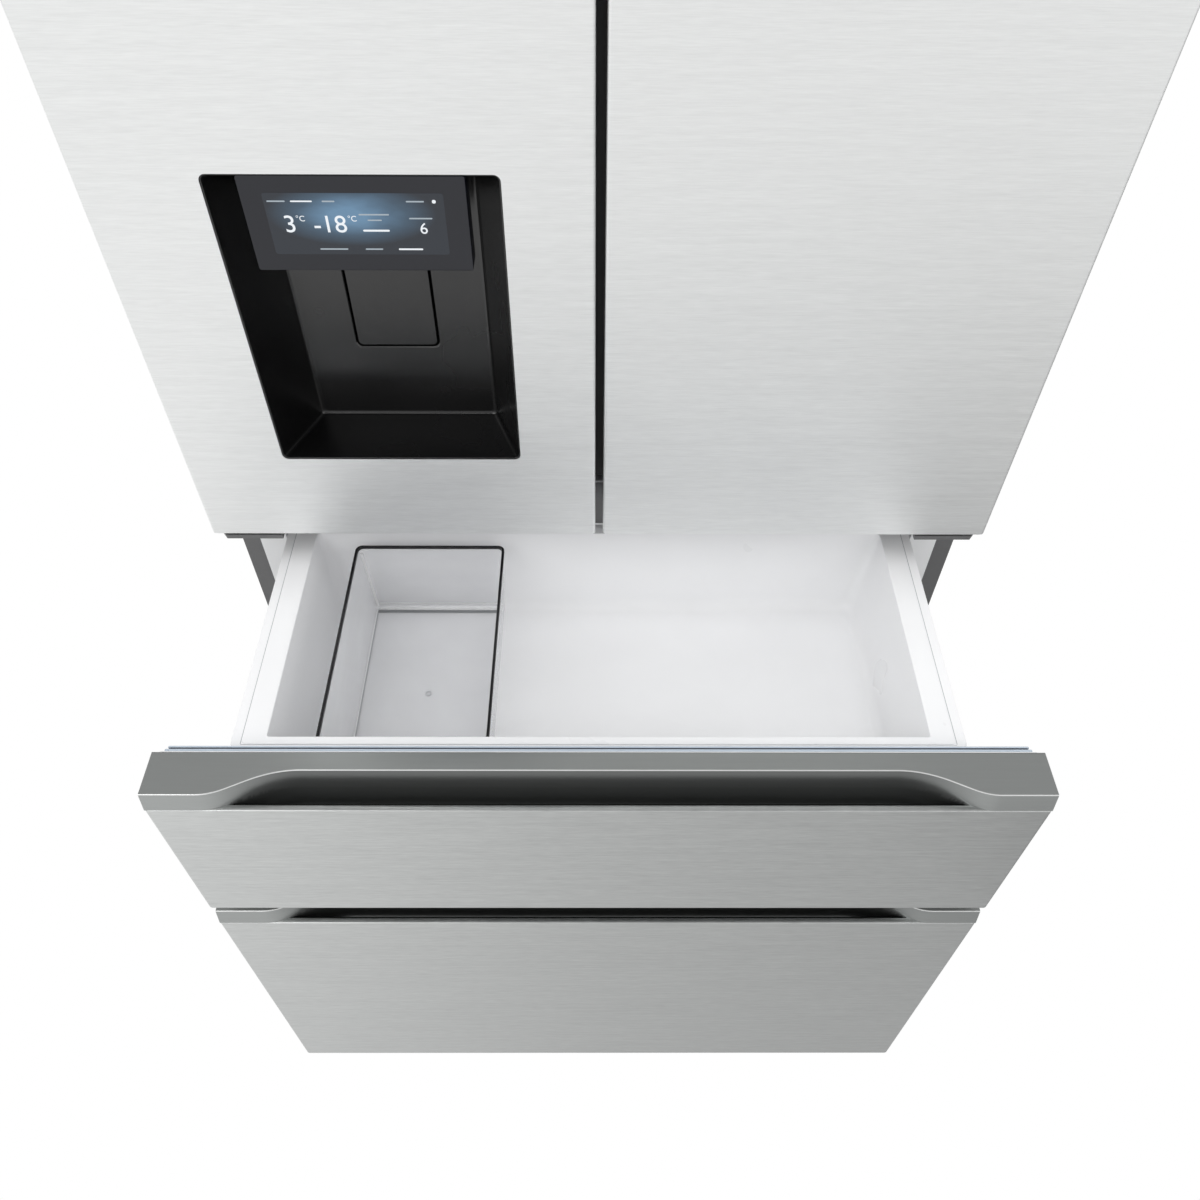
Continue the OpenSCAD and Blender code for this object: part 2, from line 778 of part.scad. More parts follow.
// Hinge brackets between the doors and the middle drawer, with a pin up into each door
module middle_hinges() {
    low_z = bracket_top - bracket_t;
    flange_h = 14;
    cut_x = 7;
    cut_y = 9;
    washer_gap = 0.3;
    step = door_z - bracket_top;
    color(case_grey) place() both() difference() {
        union() {
            prism_z(low_z, bracket_top) polygon([[bracket_in_x, bracket_front],
                [bracket_out_x - cut_x, bracket_front], [bracket_out_x, bracket_front + cut_y],
                [bracket_out_x, flange_y], [bracket_in_x, flange_y]]);
            block([bracket_in_x, flange_y - bracket_flange_t, low_z - flange_h],
                [bracket_out_x, flange_y, low_z]);
            rod_z([hinge_x, hinge_y, bracket_top], washer_r, step - washer_gap);
            rod_z([hinge_x, hinge_y, bracket_top], lower_pin_r, step + lower_pin_len);
        }
        for (at = lower_screws)
            rod_front(at + [0, eps, 0], screw_r + screw_gap, bracket_flange_t + 2 * eps);
    }
}

// Plastic covers over the top hinges
module hinge_covers() {
    x0 = top_plate_in_x - 6;
    y0 = top_plate_front - 6;
    y1 = top_plate_back + 8;
    top = cabinet_h + top_plate_t + cover_h;
    corner_r = 6;
    color(case_grey) place() both() difference() {
        prism_z(cabinet_h, top) round_rect([x0, y0], [half_w, y1], corner_r);
        prism_z(cabinet_h - eps, top - cover_t)
            round_rect([x0 + cover_t, y0 + cover_t], [half_w - cover_t, y1 - cover_t], corner_r - cover_t);
    }
}

module screw(grip) {
    cylinder(r = screw_r, h = grip);
    translate([0, 0, grip]) cylinder(r = screw_head_r, h = screw_head_h);
}

module hinge_screws() {
    color(steel) place() both() {
        for (at = top_screws) translate(at) screw(top_plate_t);
        for (at = lower_screws) translate(at) rotate([90, 0, 0]) screw(bracket_flange_t);
    }
}

// A hermetic compressor on four rubber feet
module compressor() {
    compressor_x = 140;
    can_r = 78;
    can_h = 140;
    dome = 26;
    can_z = pan_top + dome + 6;
    foot_t = 14;
    plate = [105, 84];
    plate_h = 4;
    feet = [90, 66];
    rubber_r = 11;
    box = [can_r + 26, 30];
    pipe = [-40, 20];
    color(black) place() translate([compressor_x, pan_centre_y, 0]) {
        translate([0, 0, can_z]) rotate_extrude() polygon([[0, -dome], [can_r * 0.55, -dome * 0.8],
            [can_r * 0.9, -dome * 0.3], [can_r, 0], [can_r, can_h - dome],
            [can_r * 0.9, can_h - dome * 0.4], [can_r * 0.55, can_h], [0, can_h + dome * 0.2]]);
        block([-plate[0], -plate[1], pan_top + foot_t], [plate[0], plate[1], pan_top + foot_t + plate_h]);
        for (x = [-feet[0], feet[0]], y = [-feet[1], feet[1]]) rod_z([x, y, pan_top], rubber_r, foot_t);
        block([can_r - 6, -box[1], can_z + 40], [box[0], box[1], can_z + 100]);
        rod_z([pipe[0], pipe[1], can_z + can_h - 10], coil_r, 40);
    }
}

// Serpentine condenser tube between two end plates
module condenser_coil() {
    rows = [pan_centre_y - 36, pan_centre_y + 36];
    low = pan_top + 26;
    plate_t = 2;
    plate_d = 60;
    plate_top = low + coil_levels * coil_pitch - 10;
    color(copper) place() {
        for (y = rows, i = [0:coil_levels - 1])
            rod_x([coil_left, y, low + i * coil_pitch], coil_r, coil_right - coil_left);
        for (y = rows, i = [0:coil_levels - 2]) {
            at_right = i % 2 == 0;
            translate([at_right ? coil_right : coil_left, y, low + (i + 0.5) * coil_pitch])
                rotate([90, 0, 0]) rotate([0, 0, at_right ? -90 : 90])
                    rotate_extrude(angle = 180) translate([coil_pitch / 2, 0]) circle(coil_r);
        }
        for (x = [coil_left + 14, coil_right - 16]) difference() {
            block([x, pan_centre_y - plate_d, pan_top], [x + plate_t, pan_centre_y + plate_d, plate_top]);
            for (y = rows, i = [0:coil_levels - 1])
                rod_x([x - eps, y, low + i * coil_pitch], coil_r, plate_t + 2 * eps);
        }
    }
}

// A plate with a round opening, and the motor whose shaft carries the condenser's fan
module fan_bracket() {
    plate_w = fan_r + 15;
    plate_t = 2;
    bar_t = 3;
    bar_w = 9;
    bar_x = fan_x + plate_t;
    hole_r = fan_r + 4;
    shaft_hole_r = 8;
    motor_r = 26;
    motor_len = 34;
    color(steel) place() {
        difference() {
            block([fan_x, pan_centre_y - plate_w, pan_top],
                [bar_x, pan_centre_y + plate_w, fan_z + fan_r + 12]);
            rod_x([fan_x - eps, pan_centre_y, fan_z], hole_r, plate_t + 2 * eps);
        }
        difference() {
            block([bar_x, pan_centre_y - plate_w, fan_z - bar_w],
                [bar_x + bar_t, pan_centre_y + plate_w, fan_z + bar_w]);
            rod_x([fan_x, pan_centre_y, fan_z], shaft_hole_r, plate_t + 2 * bar_t);
        }
        rod_x([bar_x + bar_t, pan_centre_y, fan_z], motor_r, motor_len);
        rod_x([fan_front_x, pan_centre_y, fan_z], fan_pin_r, bar_x + bar_t + eps - fan_front_x);
    }
}

// A bladed wheel on a hub, with its axis along z and its bore at the origin
module fan_wheel(r, hub_r, depth) {
    blades = 5;
    blade_t = 1.8;
    blade_w = r * 0.34;
    twist = 32;
    root = 2;
    blade_len = r - hub_r + root - 3;
    difference() {
        union() {
            cylinder(r = hub_r, h = depth);
            for (i = [0:blades - 1]) rotate([0, 0, i * 360 / blades])
                translate([hub_r - root, 0, depth / 2]) rotate([twist, 0, 0])
                    translate([0, -blade_w / 2, -blade_t / 2]) cube([blade_len, blade_w, blade_t]);
        }
        translate([0, 0, -eps]) cylinder(r = fan_pin_r + pin_gap, h = depth + 2 * eps);
    }
}

module condenser_fan() {
    hub_r = 20;
    depth = 18;
    color(black) place() translate([fan_front_x, pan_centre_y, fan_z]) rotate([0, 90, 0])
        fan_wheel(fan_r, hub_r, depth);
}

// The socket for the mains lead
inlet_x = 330;
inlet_z = 70;
inlet_w = 30;
inlet_h = 24;
module power_inlet() {
    low_y = back_y - 22;
    floor_y = back_y - 16;
    wall = 3;
    ear = 8;
    rim = 4;
    pin_pitch = 7;
    mid_x = inlet_x + inlet_w / 2;
    color(black) place() difference() {
        union() {
            block([inlet_x, low_y, inlet_z], [inlet_x + inlet_w, back_y, inlet_z + inlet_h]);
            block([inlet_x - ear, back_y, inlet_z - rim],
                [inlet_x + inlet_w + ear, closed_depth, inlet_z + inlet_h + rim]);
        }
        block([inlet_x + wall, floor_y, inlet_z + wall],
            [inlet_x + inlet_w - wall, closed_depth + eps, inlet_z + inlet_h - wall]);
    }
    color(steel) place() for (x = [mid_x - pin_pitch, mid_x, mid_x + pin_pitch])
        block([x - 1, floor_y, inlet_z + 8], [x + 1, back_y - 4, inlet_z + 14]);
}

// Finned evaporator behind the freezer's cover
module evaporator() {
    z0 = step_z + 2;
    fins = 20;
    fin_t = 2;
    rows = 5;
    row_h = 18;
    first_row = 12;
    tube_r = 4;
    tube_y = cover_y + 34;
    stagger = 20;
    left = -evaporator_w / 2;
    fin_pitch = (evaporator_w - 22) / (fins - 1);
    tubes = [for (k = [0:rows - 1]) [0, tube_y + stagger * (k % 2), z0 + first_row + k * row_h]];
    color(steel) place() {
        for (at = tubes) rod_x(at + [left, 0, 0], tube_r, evaporator_w);
        for (i = [0:fins - 1]) translate([left + 10 + i * fin_pitch, 0, 0]) difference() {
            block([0, cover_y + 26, z0], [fin_t, freezer_back, z0 + rows * row_h]);
            for (at = tubes) rod_x(at - [eps, 0, 0], tube_r, fin_t + 2 * eps);
        }
    }
}

// Panel in front of the evaporator, with the fan's opening and motor
module evaporator_cover() {
    panel_t = 3;
    post_d = 19;
    post_w = 8;
    bar_w = cold_fan_r + 15;
    bar_y = cover_y + panel_t + post_d;
    motor_r = 22;
    motor_len = 18;
    vent = [60, 10];
    vent_near = 160;
    vent_step = 80;
    vent_pitch = 22;
    vent_down = 40;
    first_vent_z = cold_fan_z - vent_down;
    color(white) place() {
        difference() {
            block([-cavity_x, cover_y, step_z], [cavity_x, cover_y + panel_t, bottom_cavity_top]);
            rod_front([0, cover_y + panel_t + eps, cold_fan_z], cold_fan_r + 3, panel_t + 2 * eps);
            both() for (k = [0:1], i = [0:3])
                translate([vent_near + k * vent_step, cover_y - eps, first_vent_z + i * vent_pitch])
                    cube([vent[0], panel_t + 2 * eps, vent[1]]);
        }
        for (x = [-bar_w, bar_w - post_w])
            block([x, cover_y + panel_t, cold_fan_z - post_w], [x + post_w, bar_y, cold_fan_z + post_w]);
        block([-bar_w, bar_y, cold_fan_z - post_w], [bar_w, bar_y + panel_t, cold_fan_z + post_w]);
        rod_front([0, bar_y + panel_t + motor_len, cold_fan_z], motor_r, motor_len);
        rod_front([0, bar_y + eps, cold_fan_z], fan_pin_r, bar_y + eps - cover_y - panel_t);
    }
}

module freezer_fan() {
    hub_r = 16;
    depth = 15;
    color(black) place() translate([0, cover_y + 18, cold_fan_z]) rotate([90, 0, 0])
        fan_wheel(cold_fan_r, hub_r, depth);
}

// Air duct with outlets on the food compartment's back wall
module fridge_duct() {
    duct_z = fridge_z + 30;
    duct_top = fridge_top - 20;
    outlet = [60, 8, 8];
    outlet_up = 60;
    front = fridge_back - duct_t;
    color(white) place() difference() {
        block([-duct_w / 2, front, duct_z], [duct_w / 2, fridge_back, duct_top]);
        for (z = shelf_zs, x = [-duct_w / 4, duct_w / 4])
            translate([x - outlet[0] / 2, front - eps, fridge_z + z + outlet_up]) cube(outlet + [0, eps, 0]);
    }
}

shelf_x = cavity_x - shelf_gap;
pane_x = shelf_x - shelf_rim / 2;
pane_y = shelf_y + shelf_rim / 2;
pane_back = shelf_back - shelf_rim / 2;
module shelf_frames() {
    color(white) place() for (z = shelf_zs) translate([0, 0, fridge_z + z]) difference() {
        block([-shelf_x, shelf_y, 0], [shelf_x, shelf_back, shelf_h]);
        block([-shelf_x + shelf_rim, shelf_y + shelf_rim, -eps],
            [shelf_x - shelf_rim, shelf_back - shelf_rim, shelf_h + eps]);
        block([-pane_x, pane_y, shelf_h - glass_t], [pane_x, pane_back, shelf_h + eps]);
    }
}

module shelf_glass() {
    color(clear_grey) place() for (z = shelf_zs) translate([0, 0, fridge_z + z])
        block([-pane_x, pane_y, shelf_h - glass_t], [pane_x, pane_back, shelf_h]);
}

// A drawer or bin open at the top
module open_box(low, high, t) {
    difference() {
        block(low, high);
        block(low + [t, t, t], [high[0] - t, high[1] - t, high[2] + eps]);
    }
}

// Two crispers side by side above one wide drawer
module fridge_drawers() {
    crisper_gap = 8;
    wide_gap = 10;
    front_in = 8;
    back_in = 20;
    crisper_z = fridge_z + first_shelf_up + shelf_h;
    crisper_top = fridge_z + second_shelf_up - crisper_gap;
    wide_top = fridge_z + first_shelf_up - wide_gap;
    front = shelf_y + front_in;
    back = shelf_back - back_in;
    side = cavity_x - ledge_w - shelf_gap;
    middle_gap = 4;
    color(clear_grey) place() {
        both() open_box([middle_gap, front, crisper_z], [side, back, crisper_top], bin_t);
        open_box([-side, front, fridge_z], [side, back, wide_top], bin_t);
    }
}

// One slide channel on two spacers on the right wall, open towards the middle
module channel(z1) {
    end_t = 6;
    spacer_len = 30;
    difference() {
        block([slide_x - channel_d, channel_y, z1 - channel_h], [slide_x, channel_back, z1]);
        block([slide_x - channel_d - eps, channel_y - eps, z1 - channel_h + channel_t],
            [slide_x - channel_t, channel_back - end_t, z1 - channel_t]);
    }
    for (y = [channel_y, channel_back - spacer_len])
        block([slide_x, y, z1 - channel_h], [cavity_x, y + spacer_len, z1]);
}

channel_down = 2;
middle_channel_top = middle_rim_z - rim_t - channel_down;
bottom_channel_top = bottom_rim_z - rim_t - channel_down;
module cabinet_rails() {
    runner_top = tray_rim_z - rim_t - 0.3;
    color(steel) place() both() {
        channel(middle_channel_top);
        channel(bottom_channel_top);
        block([cavity_x - runner_w, channel_y + 20, runner_top - runner_h],
            [cavity_x, channel_back, runner_top]);
    }
}

// The member of a slide that runs in the channel, with the bracket that carries the basket
module drawer_rail(z1, rim_low) {
    z0 = z1 - channel_h + channel_t + slide_gap;
    plate_t = 3;
    block([rail_in_x, edge_y, z0], [rail_out_x, rail_back, z1 - channel_t - slide_gap]);
    block([rail_in_x - bracket_w, edge_y, z0], [rail_in_x, edge_y + plate_t, rim_low]);
    block([rail_in_x - plate_t, edge_y, z0], [rail_in_x, rim_back - 10, rim_low]);
}

module middle_basket_rails() {
    color(steel) pulled() both() drawer_rail(middle_channel_top, middle_rim_z - rim_t);
}

module bottom_basket_rails() {
    color(steel) pulled() both() drawer_rail(bottom_channel_top, bottom_rim_z - rim_t);
}

// A basket with leaning walls and a flat rim
module basket(rim_z, floor_z) {
    back_lean = basket_front_lean + 9;
    top = [-wall_x, wall_x, inner_y, inner_back];
    low = [-wall_x + basket_lean, wall_x - basket_lean, inner_y + basket_front_lean, inner_back - back_lean];
    difference() {
        union() {
            leaning_box(grown(low, basket_t), grown(top, basket_t), floor_z - basket_t, rim_z);
            block([-rim_x, rim_y, rim_z - rim_t], [rim_x, rim_back, rim_z]);
        }
        leaning_box(low, top, floor_z, rim_z + skim);
    }
}

module middle_basket() {
    color(white) pulled() basket(middle_rim_z, middle_floor_z);
}

module bottom_basket() {
    color(white) pulled() basket(bottom_rim_z, bottom_floor_z);
}

organiser_outer = [organiser_left, organiser_right, organiser_y, organiser_back];
organiser_base = grown(organiser_outer, -organiser_lean);
module organiser_box() {
    top_z = organiser_top - organiser_rim_h;
    color(clear_grey) pulled() difference() {
        leaning_box(organiser_base, organiser_outer, organiser_z, top_z);
        leaning_box(grown(organiser_base, -organiser_t), grown(organiser_outer, -organiser_t),
            organiser_z + organiser_t, top_z + skim);
    }
}

module organiser_rim() {
    over = 1;
    inset = organiser_rim_w - over;
    color(black) pulled() prism_z(organiser_top - organiser_rim_h, organiser_top) difference() {
        round_rect([organiser_left - over, organiser_y - over],
            [organiser_right + over, organiser_back + over], 8);
        round_rect([organiser_left + inset, organiser_y + inset],
            [organiser_right - inset, organiser_back - inset], 6);
    }
}

// The freezer's upper tray, on its own runners
module upper_tray() {
    lean = 6;
    side_gap = 3;
    front = inner_y - 8;
    back = inner_y + tray_d - 12;
    top = [-wall_x, wall_x, inner_y, back - 8];
    low = grown(top, -lean);
    color(white) place() difference() {
        union() {
            leaning_box(grown(low, basket_t), grown(top, basket_t), tray_floor_z - basket_t, tray_rim_z);
            block([-cavity_x + side_gap, front, tray_rim_z - rim_t],
                [cavity_x - side_gap, back, tray_rim_z]);
        }
        leaning_box(low, top, tray_floor_z, tray_rim_z + skim);
    }
}

// A drawer front's steel face, folded back round its sides, bottom and pocket lip
module front_skin(z0, panel_top) {
    in_x = half_w - sheet_t;
    prism_z(z0, panel_top) difference() {
        union() {
            round_rect([-half_w, 0], [half_w, panel_d], edge_r);
            translate([-half_w, edge_r]) square([cabinet_w, panel_d - edge_r]);
        }
        translate([-in_x, sheet_t]) square([2 * in_x, panel_d]);
    }
    block([-in_x, sheet_t, z0], [in_x, panel_d, z0 + sheet_t]);
    block([-in_x, sheet_t, panel_top - sheet_t], [in_x, lip_w, panel_top]);
}

// How far back the scoop lies, at a distance d inward from where it starts
scoop_slope = scoop_d / (scoop_in / 2 + scoop_ramp + scoop_out / 2);
scoop_straight = scoop_in + scoop_ramp;
scoop_len = scoop_straight + scoop_out;
function scoop_back(d) =
    d <= 0 ? 0 :
    d < scoop_in ? scoop_slope * d * d / (2 * scoop_in) :
    d < scoop_straight ? scoop_slope * (d - scoop_in / 2) :
    d < scoop_len ? scoop_d - scoop_slope * pow(scoop_len - d, 2) / (2 * scoop_out) :
    scoop_d;

// Points of the cap's front edge, from the left side to the right side
scoop_steps = 16;
scoop_xs = concat([-half_w], [for (i = [0:scoop_steps]) -half_w + scoop_side + scoop_len * i / scoop_steps]);
function edge_point(x, setback) = [x, setback + scoop_back(half_w - scoop_side - abs(x))];
function cap_edge(setback) = concat([for (x = scoop_xs) edge_point(x, setback)],
    [for (i = [len(scoop_xs) - 1:-1:0]) edge_point(-scoop_xs[i], setback)]);

// A solid between two front edges with as many points, one below and one above, and a straight
// back; its top and bottom are strips from the front edge to the back
module cap_solid(low, high, z0, z1) {
    n = len(low);
    points = concat([for (p = low) [p[0], p[1], z0]], [for (p = high) [p[0], p[1], z1]],
        [for (p = low) [p[0], panel_d, z0]], [for (p = high) [p[0], panel_d, z1]]);
    fronts = [for (i = [0:n - 2]) [i, n + i, n + i + 1, i + 1]];
    backs = [for (i = [0:n - 2]) [2 * n + i, 2 * n + i + 1, 3 * n + i + 1, 3 * n + i]];
    floors = [for (i = [0:n - 2]) [i, i + 1, 2 * n + i + 1, 2 * n + i]];
    tops = [for (i = [0:n - 2]) [n + i, 3 * n + i, 3 * n + i + 1, n + i + 1]];
    ends = [[0, 2 * n, 3 * n, n], [n - 1, 2 * n - 1, 4 * n - 1, 3 * n - 1]];
    polyhedron(points, concat(fronts, backs, floors, tops, ends));
}

// The handle: a cap along the top of a drawer front, scooped out over a finger pocket
lip_gap = 0.6;
pocket_start = lip_w + lip_gap - cap_setback + cap_lean;
pocket_x = half_w - scoop_side - sqrt(2 * scoop_in * pocket_start / scoop_slope);
pocket_y = cap_setback - cap_lean + scoop_d;
module front_handle(panel_top) {
    low_set = cap_setback - cap_lean;
    lip_y = lip_w + lip_gap;
    floor_z = panel_top - pocket_h;
    cap_solid(cap_edge(low_set), cap_edge(cap_setback), panel_top, panel_top + cap_h);
    difference() {
        block([-pocket_x - pocket_t, lip_w, floor_z - pocket_t],
            [pocket_x + pocket_t, pocket_y + pocket_t, panel_top]);
        prism_z(floor_z, panel_top + eps) polygon(concat([[pocket_x, lip_y], [-pocket_x, lip_y]],
            [for (p = cap_edge(low_set)) if (abs(p[0]) <= pocket_x && p[1] > lip_y) p]));
    }
}

// The foamed inner panel of a drawer front, cut for the finger pocket
module front_inner(z0, panel_top, cap_top) {
    in_x = half_w - sheet_t;
    edge_x = half_w - inner_edge_inset;
    boss_x = rail_in_x - bracket_w - 6;
    difference() {
        union() {
            block([-in_x, sheet_t, z0 + sheet_t], [in_x, panel_d, panel_top - sheet_t]);
            block([-in_x, lip_w, panel_top - sheet_t - eps], [in_x, panel_d, panel_top]);
            block([-edge_x, panel_d, z0 + inner_edge_inset], [edge_x, edge_y, cap_top - inner_edge_inset]);
            block([-boss_x, edge_y, z0 + front_overlap + 16],
                [boss_x, edge_y + 12, panel_top - front_overlap]);
        }
        block([-pocket_x - pocket_t, lip_w - eps, panel_top - pocket_h - pocket_t],
            [pocket_x + pocket_t, pocket_y + pocket_t, panel_top + eps]);
    }
}

// A gasket round a rectangle, stepped in where it closes
module gasket_ring(x0, x1, z0, z1) {
    front_t = 2.6;
    base_t = gasket_t - front_t;
    step = 2.3;
    rise = 0.5;
    difference() {
        union() {
            block([x0, edge_y, z0], [x1, edge_y + base_t, z1]);
            block([x0 + step, edge_y + base_t, z0 + rise], [x1 - step, gasket_y, z1 - rise]);
        }
        block([x0 + gasket_w, edge_y - eps, z0 + gasket_w], [x1 - gasket_w, gasket_y + eps, z1 - gasket_w]);
    }
}

middle_panel_top = middle_front_top - cap_h;
bottom_panel_top = bottom_front_top - cap_h;

// A drawer front's gasket
module front_gasket(z0, z1) {
    x = half_w - gasket_side_inset;
    gasket_ring(-x, x, z0 + gasket_inset, z1 - gasket_inset);
}

module middle_drawer_skin() {
    color(silver_mid) pulled() front_skin(middle_front_z, middle_panel_top);
}

module middle_drawer_inner() {
    color(white) pulled() front_inner(middle_front_z, middle_panel_top, middle_front_top);
}

module middle_drawer_gasket() {
    color(gasket_grey) pulled() front_gasket(middle_front_z, middle_front_top);
}

module middle_drawer_handle() {
    color(cap_grey) pulled() front_handle(middle_panel_top);
}

module bottom_drawer_skin() {
    color(silver_mid) pulled() front_skin(bottom_front_z, bottom_panel_top);
}

module bottom_drawer_inner() {
    color(white) pulled() front_inner(bottom_front_z, bottom_panel_top, bottom_front_top);
}

module bottom_drawer_gasket() {
    color(gasket_grey) pulled() front_gasket(bottom_front_z, bottom_front_top);
}

module bottom_drawer_handle() {
    color(cap_grey) pulled() front_handle(bottom_panel_top);
}

// A door's steel face folded back round both sides, drawn for the right door
module door_skin() {
    prism_z(door_z, door_top) difference() {
        union() {
            round_rect([free_x, 0], [half_w, panel_d], edge_r);
            translate([free_x, edge_r]) square([half_w - free_x, panel_d - edge_r]);
        }
        translate([free_x + sheet_t, sheet_t]) square([half_w - free_x - 2 * sheet_t, panel_d]);
    }
}

// Plastic caps in a door's top and bottom, with the hinge bores and a finger groove
module door_caps() {
    x0 = free_x + sheet_t;
    x1 = half_w - sheet_t;
    end_gap = 0.5;
    groove_x = free_x + 26;
    groove = [12, 42];
    difference() {
        union() {
            block([x0, sheet_t, door_z], [x1, panel_d, door_z + door_cap_h]);
            block([x0, sheet_t, door_top - door_cap_h], [x1, panel_d, door_top]);
        }
        rod_z([hinge_x, hinge_y, door_z - eps], lower_pin_r + pin_gap, lower_pin_len + end_gap + eps);
        rod_z([hinge_x, hinge_y, cabinet_h - upper_pin_len - end_gap], upper_pin_r + pin_gap, upper_pin_len);
        block([groove_x, groove[0], door_z - eps], [groove_x + groove_len, groove[1], door_z + groove_h]);
    }
}

// A door's foamed inner panel with its rib, drawn for the right door
module door_inner() {
    block([free_x + sheet_t, sheet_t, door_z + door_cap_h],
        [half_w - sheet_t, panel_d - liner_gap, door_top - door_cap_h]);
    block([free_x + 2, panel_d, door_z + inner_edge_inset],
        [half_w - inner_edge_inset, edge_y, door_top - inner_edge_inset]);
    difference() {
        block([rib_in_x, edge_y, rib_z], [rib_out_x, rib_y, rib_top]);
        block([rib_in_x + rib_w, edge_y - eps, rib_z + rib_w],
            [rib_out_x - rib_w, rib_y + eps, rib_top - rib_w]);
    }
}

module door_gasket() {
    gasket_ring(free_x + gasket_free_inset, half_w - gasket_hinge_inset, door_z + gasket_inset,
        door_top - gasket_inset);
}

// A bin between the ribs of the right door, from its floor to its top
module door_bin(z0, z1) {
    open_box([rib_in_x + rib_w, edge_y, z0], [rib_out_x - rib_w, edge_y + bin_d, z1], bin_t);
}

module right_door_skin() {
    color(silver) place() door_skin();
}

module right_door_inner() {
    color(white) place() door_inner();
}

module right_door_gasket() {
    color(gasket_grey) place() door_gasket();
}

module right_door_caps() {
    color(silver_mid) place() door_caps();
}

lowest_bin_z = rib_z + rib_w;
bin_pitch = 250;
module right_door_bins() {
    color(clear_grey) place()
        for (i = [0:2]) door_bin(lowest_bin_z + i * bin_pitch, lowest_bin_z + i * bin_pitch + bin_h);
}

// The recess as a flat outline in x and y, grown by a wall t
module recess_outline(t) {
    polygon([[recess_x - t, 0], [recess_right + t, 0], [recess_right - recess_lean + t, recess_d + t],
        [recess_x + recess_lean - t, recess_d + t]]);
}

// The recess's hollow or its outside, with round corners at the door's face
module recess_solid(t) {
    intersection() {
        prism_z(recess_z - t, recess_top + t) recess_outline(t);
        prism_y(-eps, recess_d + t + eps)
            round_rect([recess_x - t, recess_z - t], [recess_right + t, recess_top + t], recess_r + t);
    }
}

// The paddle's pocket behind the recess, grown by a wall t
module paddle_pocket(t) {
    out = paddle_gap + t;
    block([paddle_x - out, recess_d - eps, paddle_z - out],
        [paddle_x + paddle_w + out, pocket_back + t, paddle_top + out]);
}

// The ice chute from below, where it is open, to the ice compartment's floor, grown by a wall t
chute_bend_z = recess_top - 12;
module chute_solid(t, over) {
    prism_x(recess_mid - chute_w / 2 - t, recess_mid + chute_w / 2 + t) polygon([
        [chute_low_y - t, chute_low_z - over], [chute_low_y + chute_d + t, chute_low_z - over],
        [chute_low_y + chute_d + t, chute_bend_z], [chute_top_y + chute_d + t, ice_z + over],
        [chute_top_y - t, ice_z + over], [chute_low_y - t, chute_bend_z + 2 * t]]);
}

module left_door_skin() {
    t = housing_t;
    color(silver) place() difference() {
        mirror([1, 0, 0]) door_skin();
        prism_y(-eps, sheet_t + eps)
            round_rect([recess_x - t, recess_z - t], [recess_right + t, recess_top + t], recess_r + t);
    }
}

// The left door's foamed panel, deeper round the dispenser and hollow round the ice maker
module left_door_inner() {
    boss_r = 2.5;
    case_low = ice_z - ice_wall;
    upper = boss_len + knuckle_len + 2 * knuckle_gap;
    color(white) place() {
        difference() {
            union() {
                difference() {
                    mirror([1, 0, 0]) door_inner();
                    block([-rib_out_x - eps, edge_y, bulge_z - liner_gap],
                        [-rib_in_x + eps, ice_y, rib_top + eps]);
                }
                block([-rib_out_x, edge_y + liner_gap, bulge_z],
                    [-rib_in_x, bulge_y, case_low - liner_gap]);
                block([-rib_out_x, edge_y + liner_gap, case_low], [-rib_in_x, ice_y, rib_top]);
            }
            recess_solid(housing_t);
            paddle_pocket(housing_t);
            chute_solid(chute_wall, 0);
            block([-rib_out_x + ice_wall, edge_y + 2, ice_z],
                [-rib_in_x - ice_wall, ice_y + eps, rib_top - ice_wall]);
        }
        for (z = knuckle_zs) {
            for (b = [z, z + upper]) {
                rod_z([flap_x, flap_axis_y, b], boss_r, boss_len);
                block([-rib_in_x - eps, flap_axis_y - boss_r, b],
                    [flap_x, flap_axis_y + boss_r, b + boss_len]);
            }
            rod_z([flap_x, flap_axis_y, z], flap_pin_r, upper + boss_len);
        }
    }
}

module left_door_gasket() {
    color(gasket_grey) place() mirror([1, 0, 0]) door_gasket();
}

module left_door_caps() {
    color(silver_mid) place() mirror([1, 0, 0]) door_caps();
}

module left_door_bin() {
    color(clear_grey) place() mirror([1, 0, 0]) door_bin(lowest_bin_z, bulge_z - 3);
}

// The black recess of the dispenser, with the paddle's pocket and pin
module dispenser_housing() {
    around = 20;
    pin_x = paddle_x - paddle_gap - 1;
    color(black) place() difference() {
        union() {
            difference() {
                union() {
                    intersection() {
                        recess_solid(housing_t);
                        block([recess_x - around, 0, recess_z - around],
                            [recess_right + around, recess_d + around, recess_top + around]);
                    }
                    paddle_pocket(housing_t);
                }
                recess_solid(0);
                paddle_pocket(0);
            }
            rod_x([pin_x, paddle_axis_y, paddle_axis_z], paddle_pin_r, 2 * (recess_mid - pin_x));
        }
        intersection() {
            chute_solid(chute_wall, 0);
            block([recess_x, 0, recess_z], [recess_right, recess_d + around, recess_top + around]);
        }
    }
}

module dispenser_paddle() {
    color(black) place() difference() {
        union() {
            block([paddle_x, recess_d, paddle_z], [paddle_x + paddle_w, recess_d + paddle_t, paddle_top]);
            rod_x([paddle_x + 1, paddle_axis_y, paddle_axis_z], paddle_barrel_r, paddle_w - 2);
        }
        rod_x([paddle_x - eps, paddle_axis_y, paddle_axis_z], paddle_pin_r + pin_gap, paddle_w + 2 * eps);
    }
}

module dispenser_display() {
    color(black) place() block([display_x, display_back, recess_top - display_h],
        [display_x + display_w, display_back + display_t, recess_top]);
}

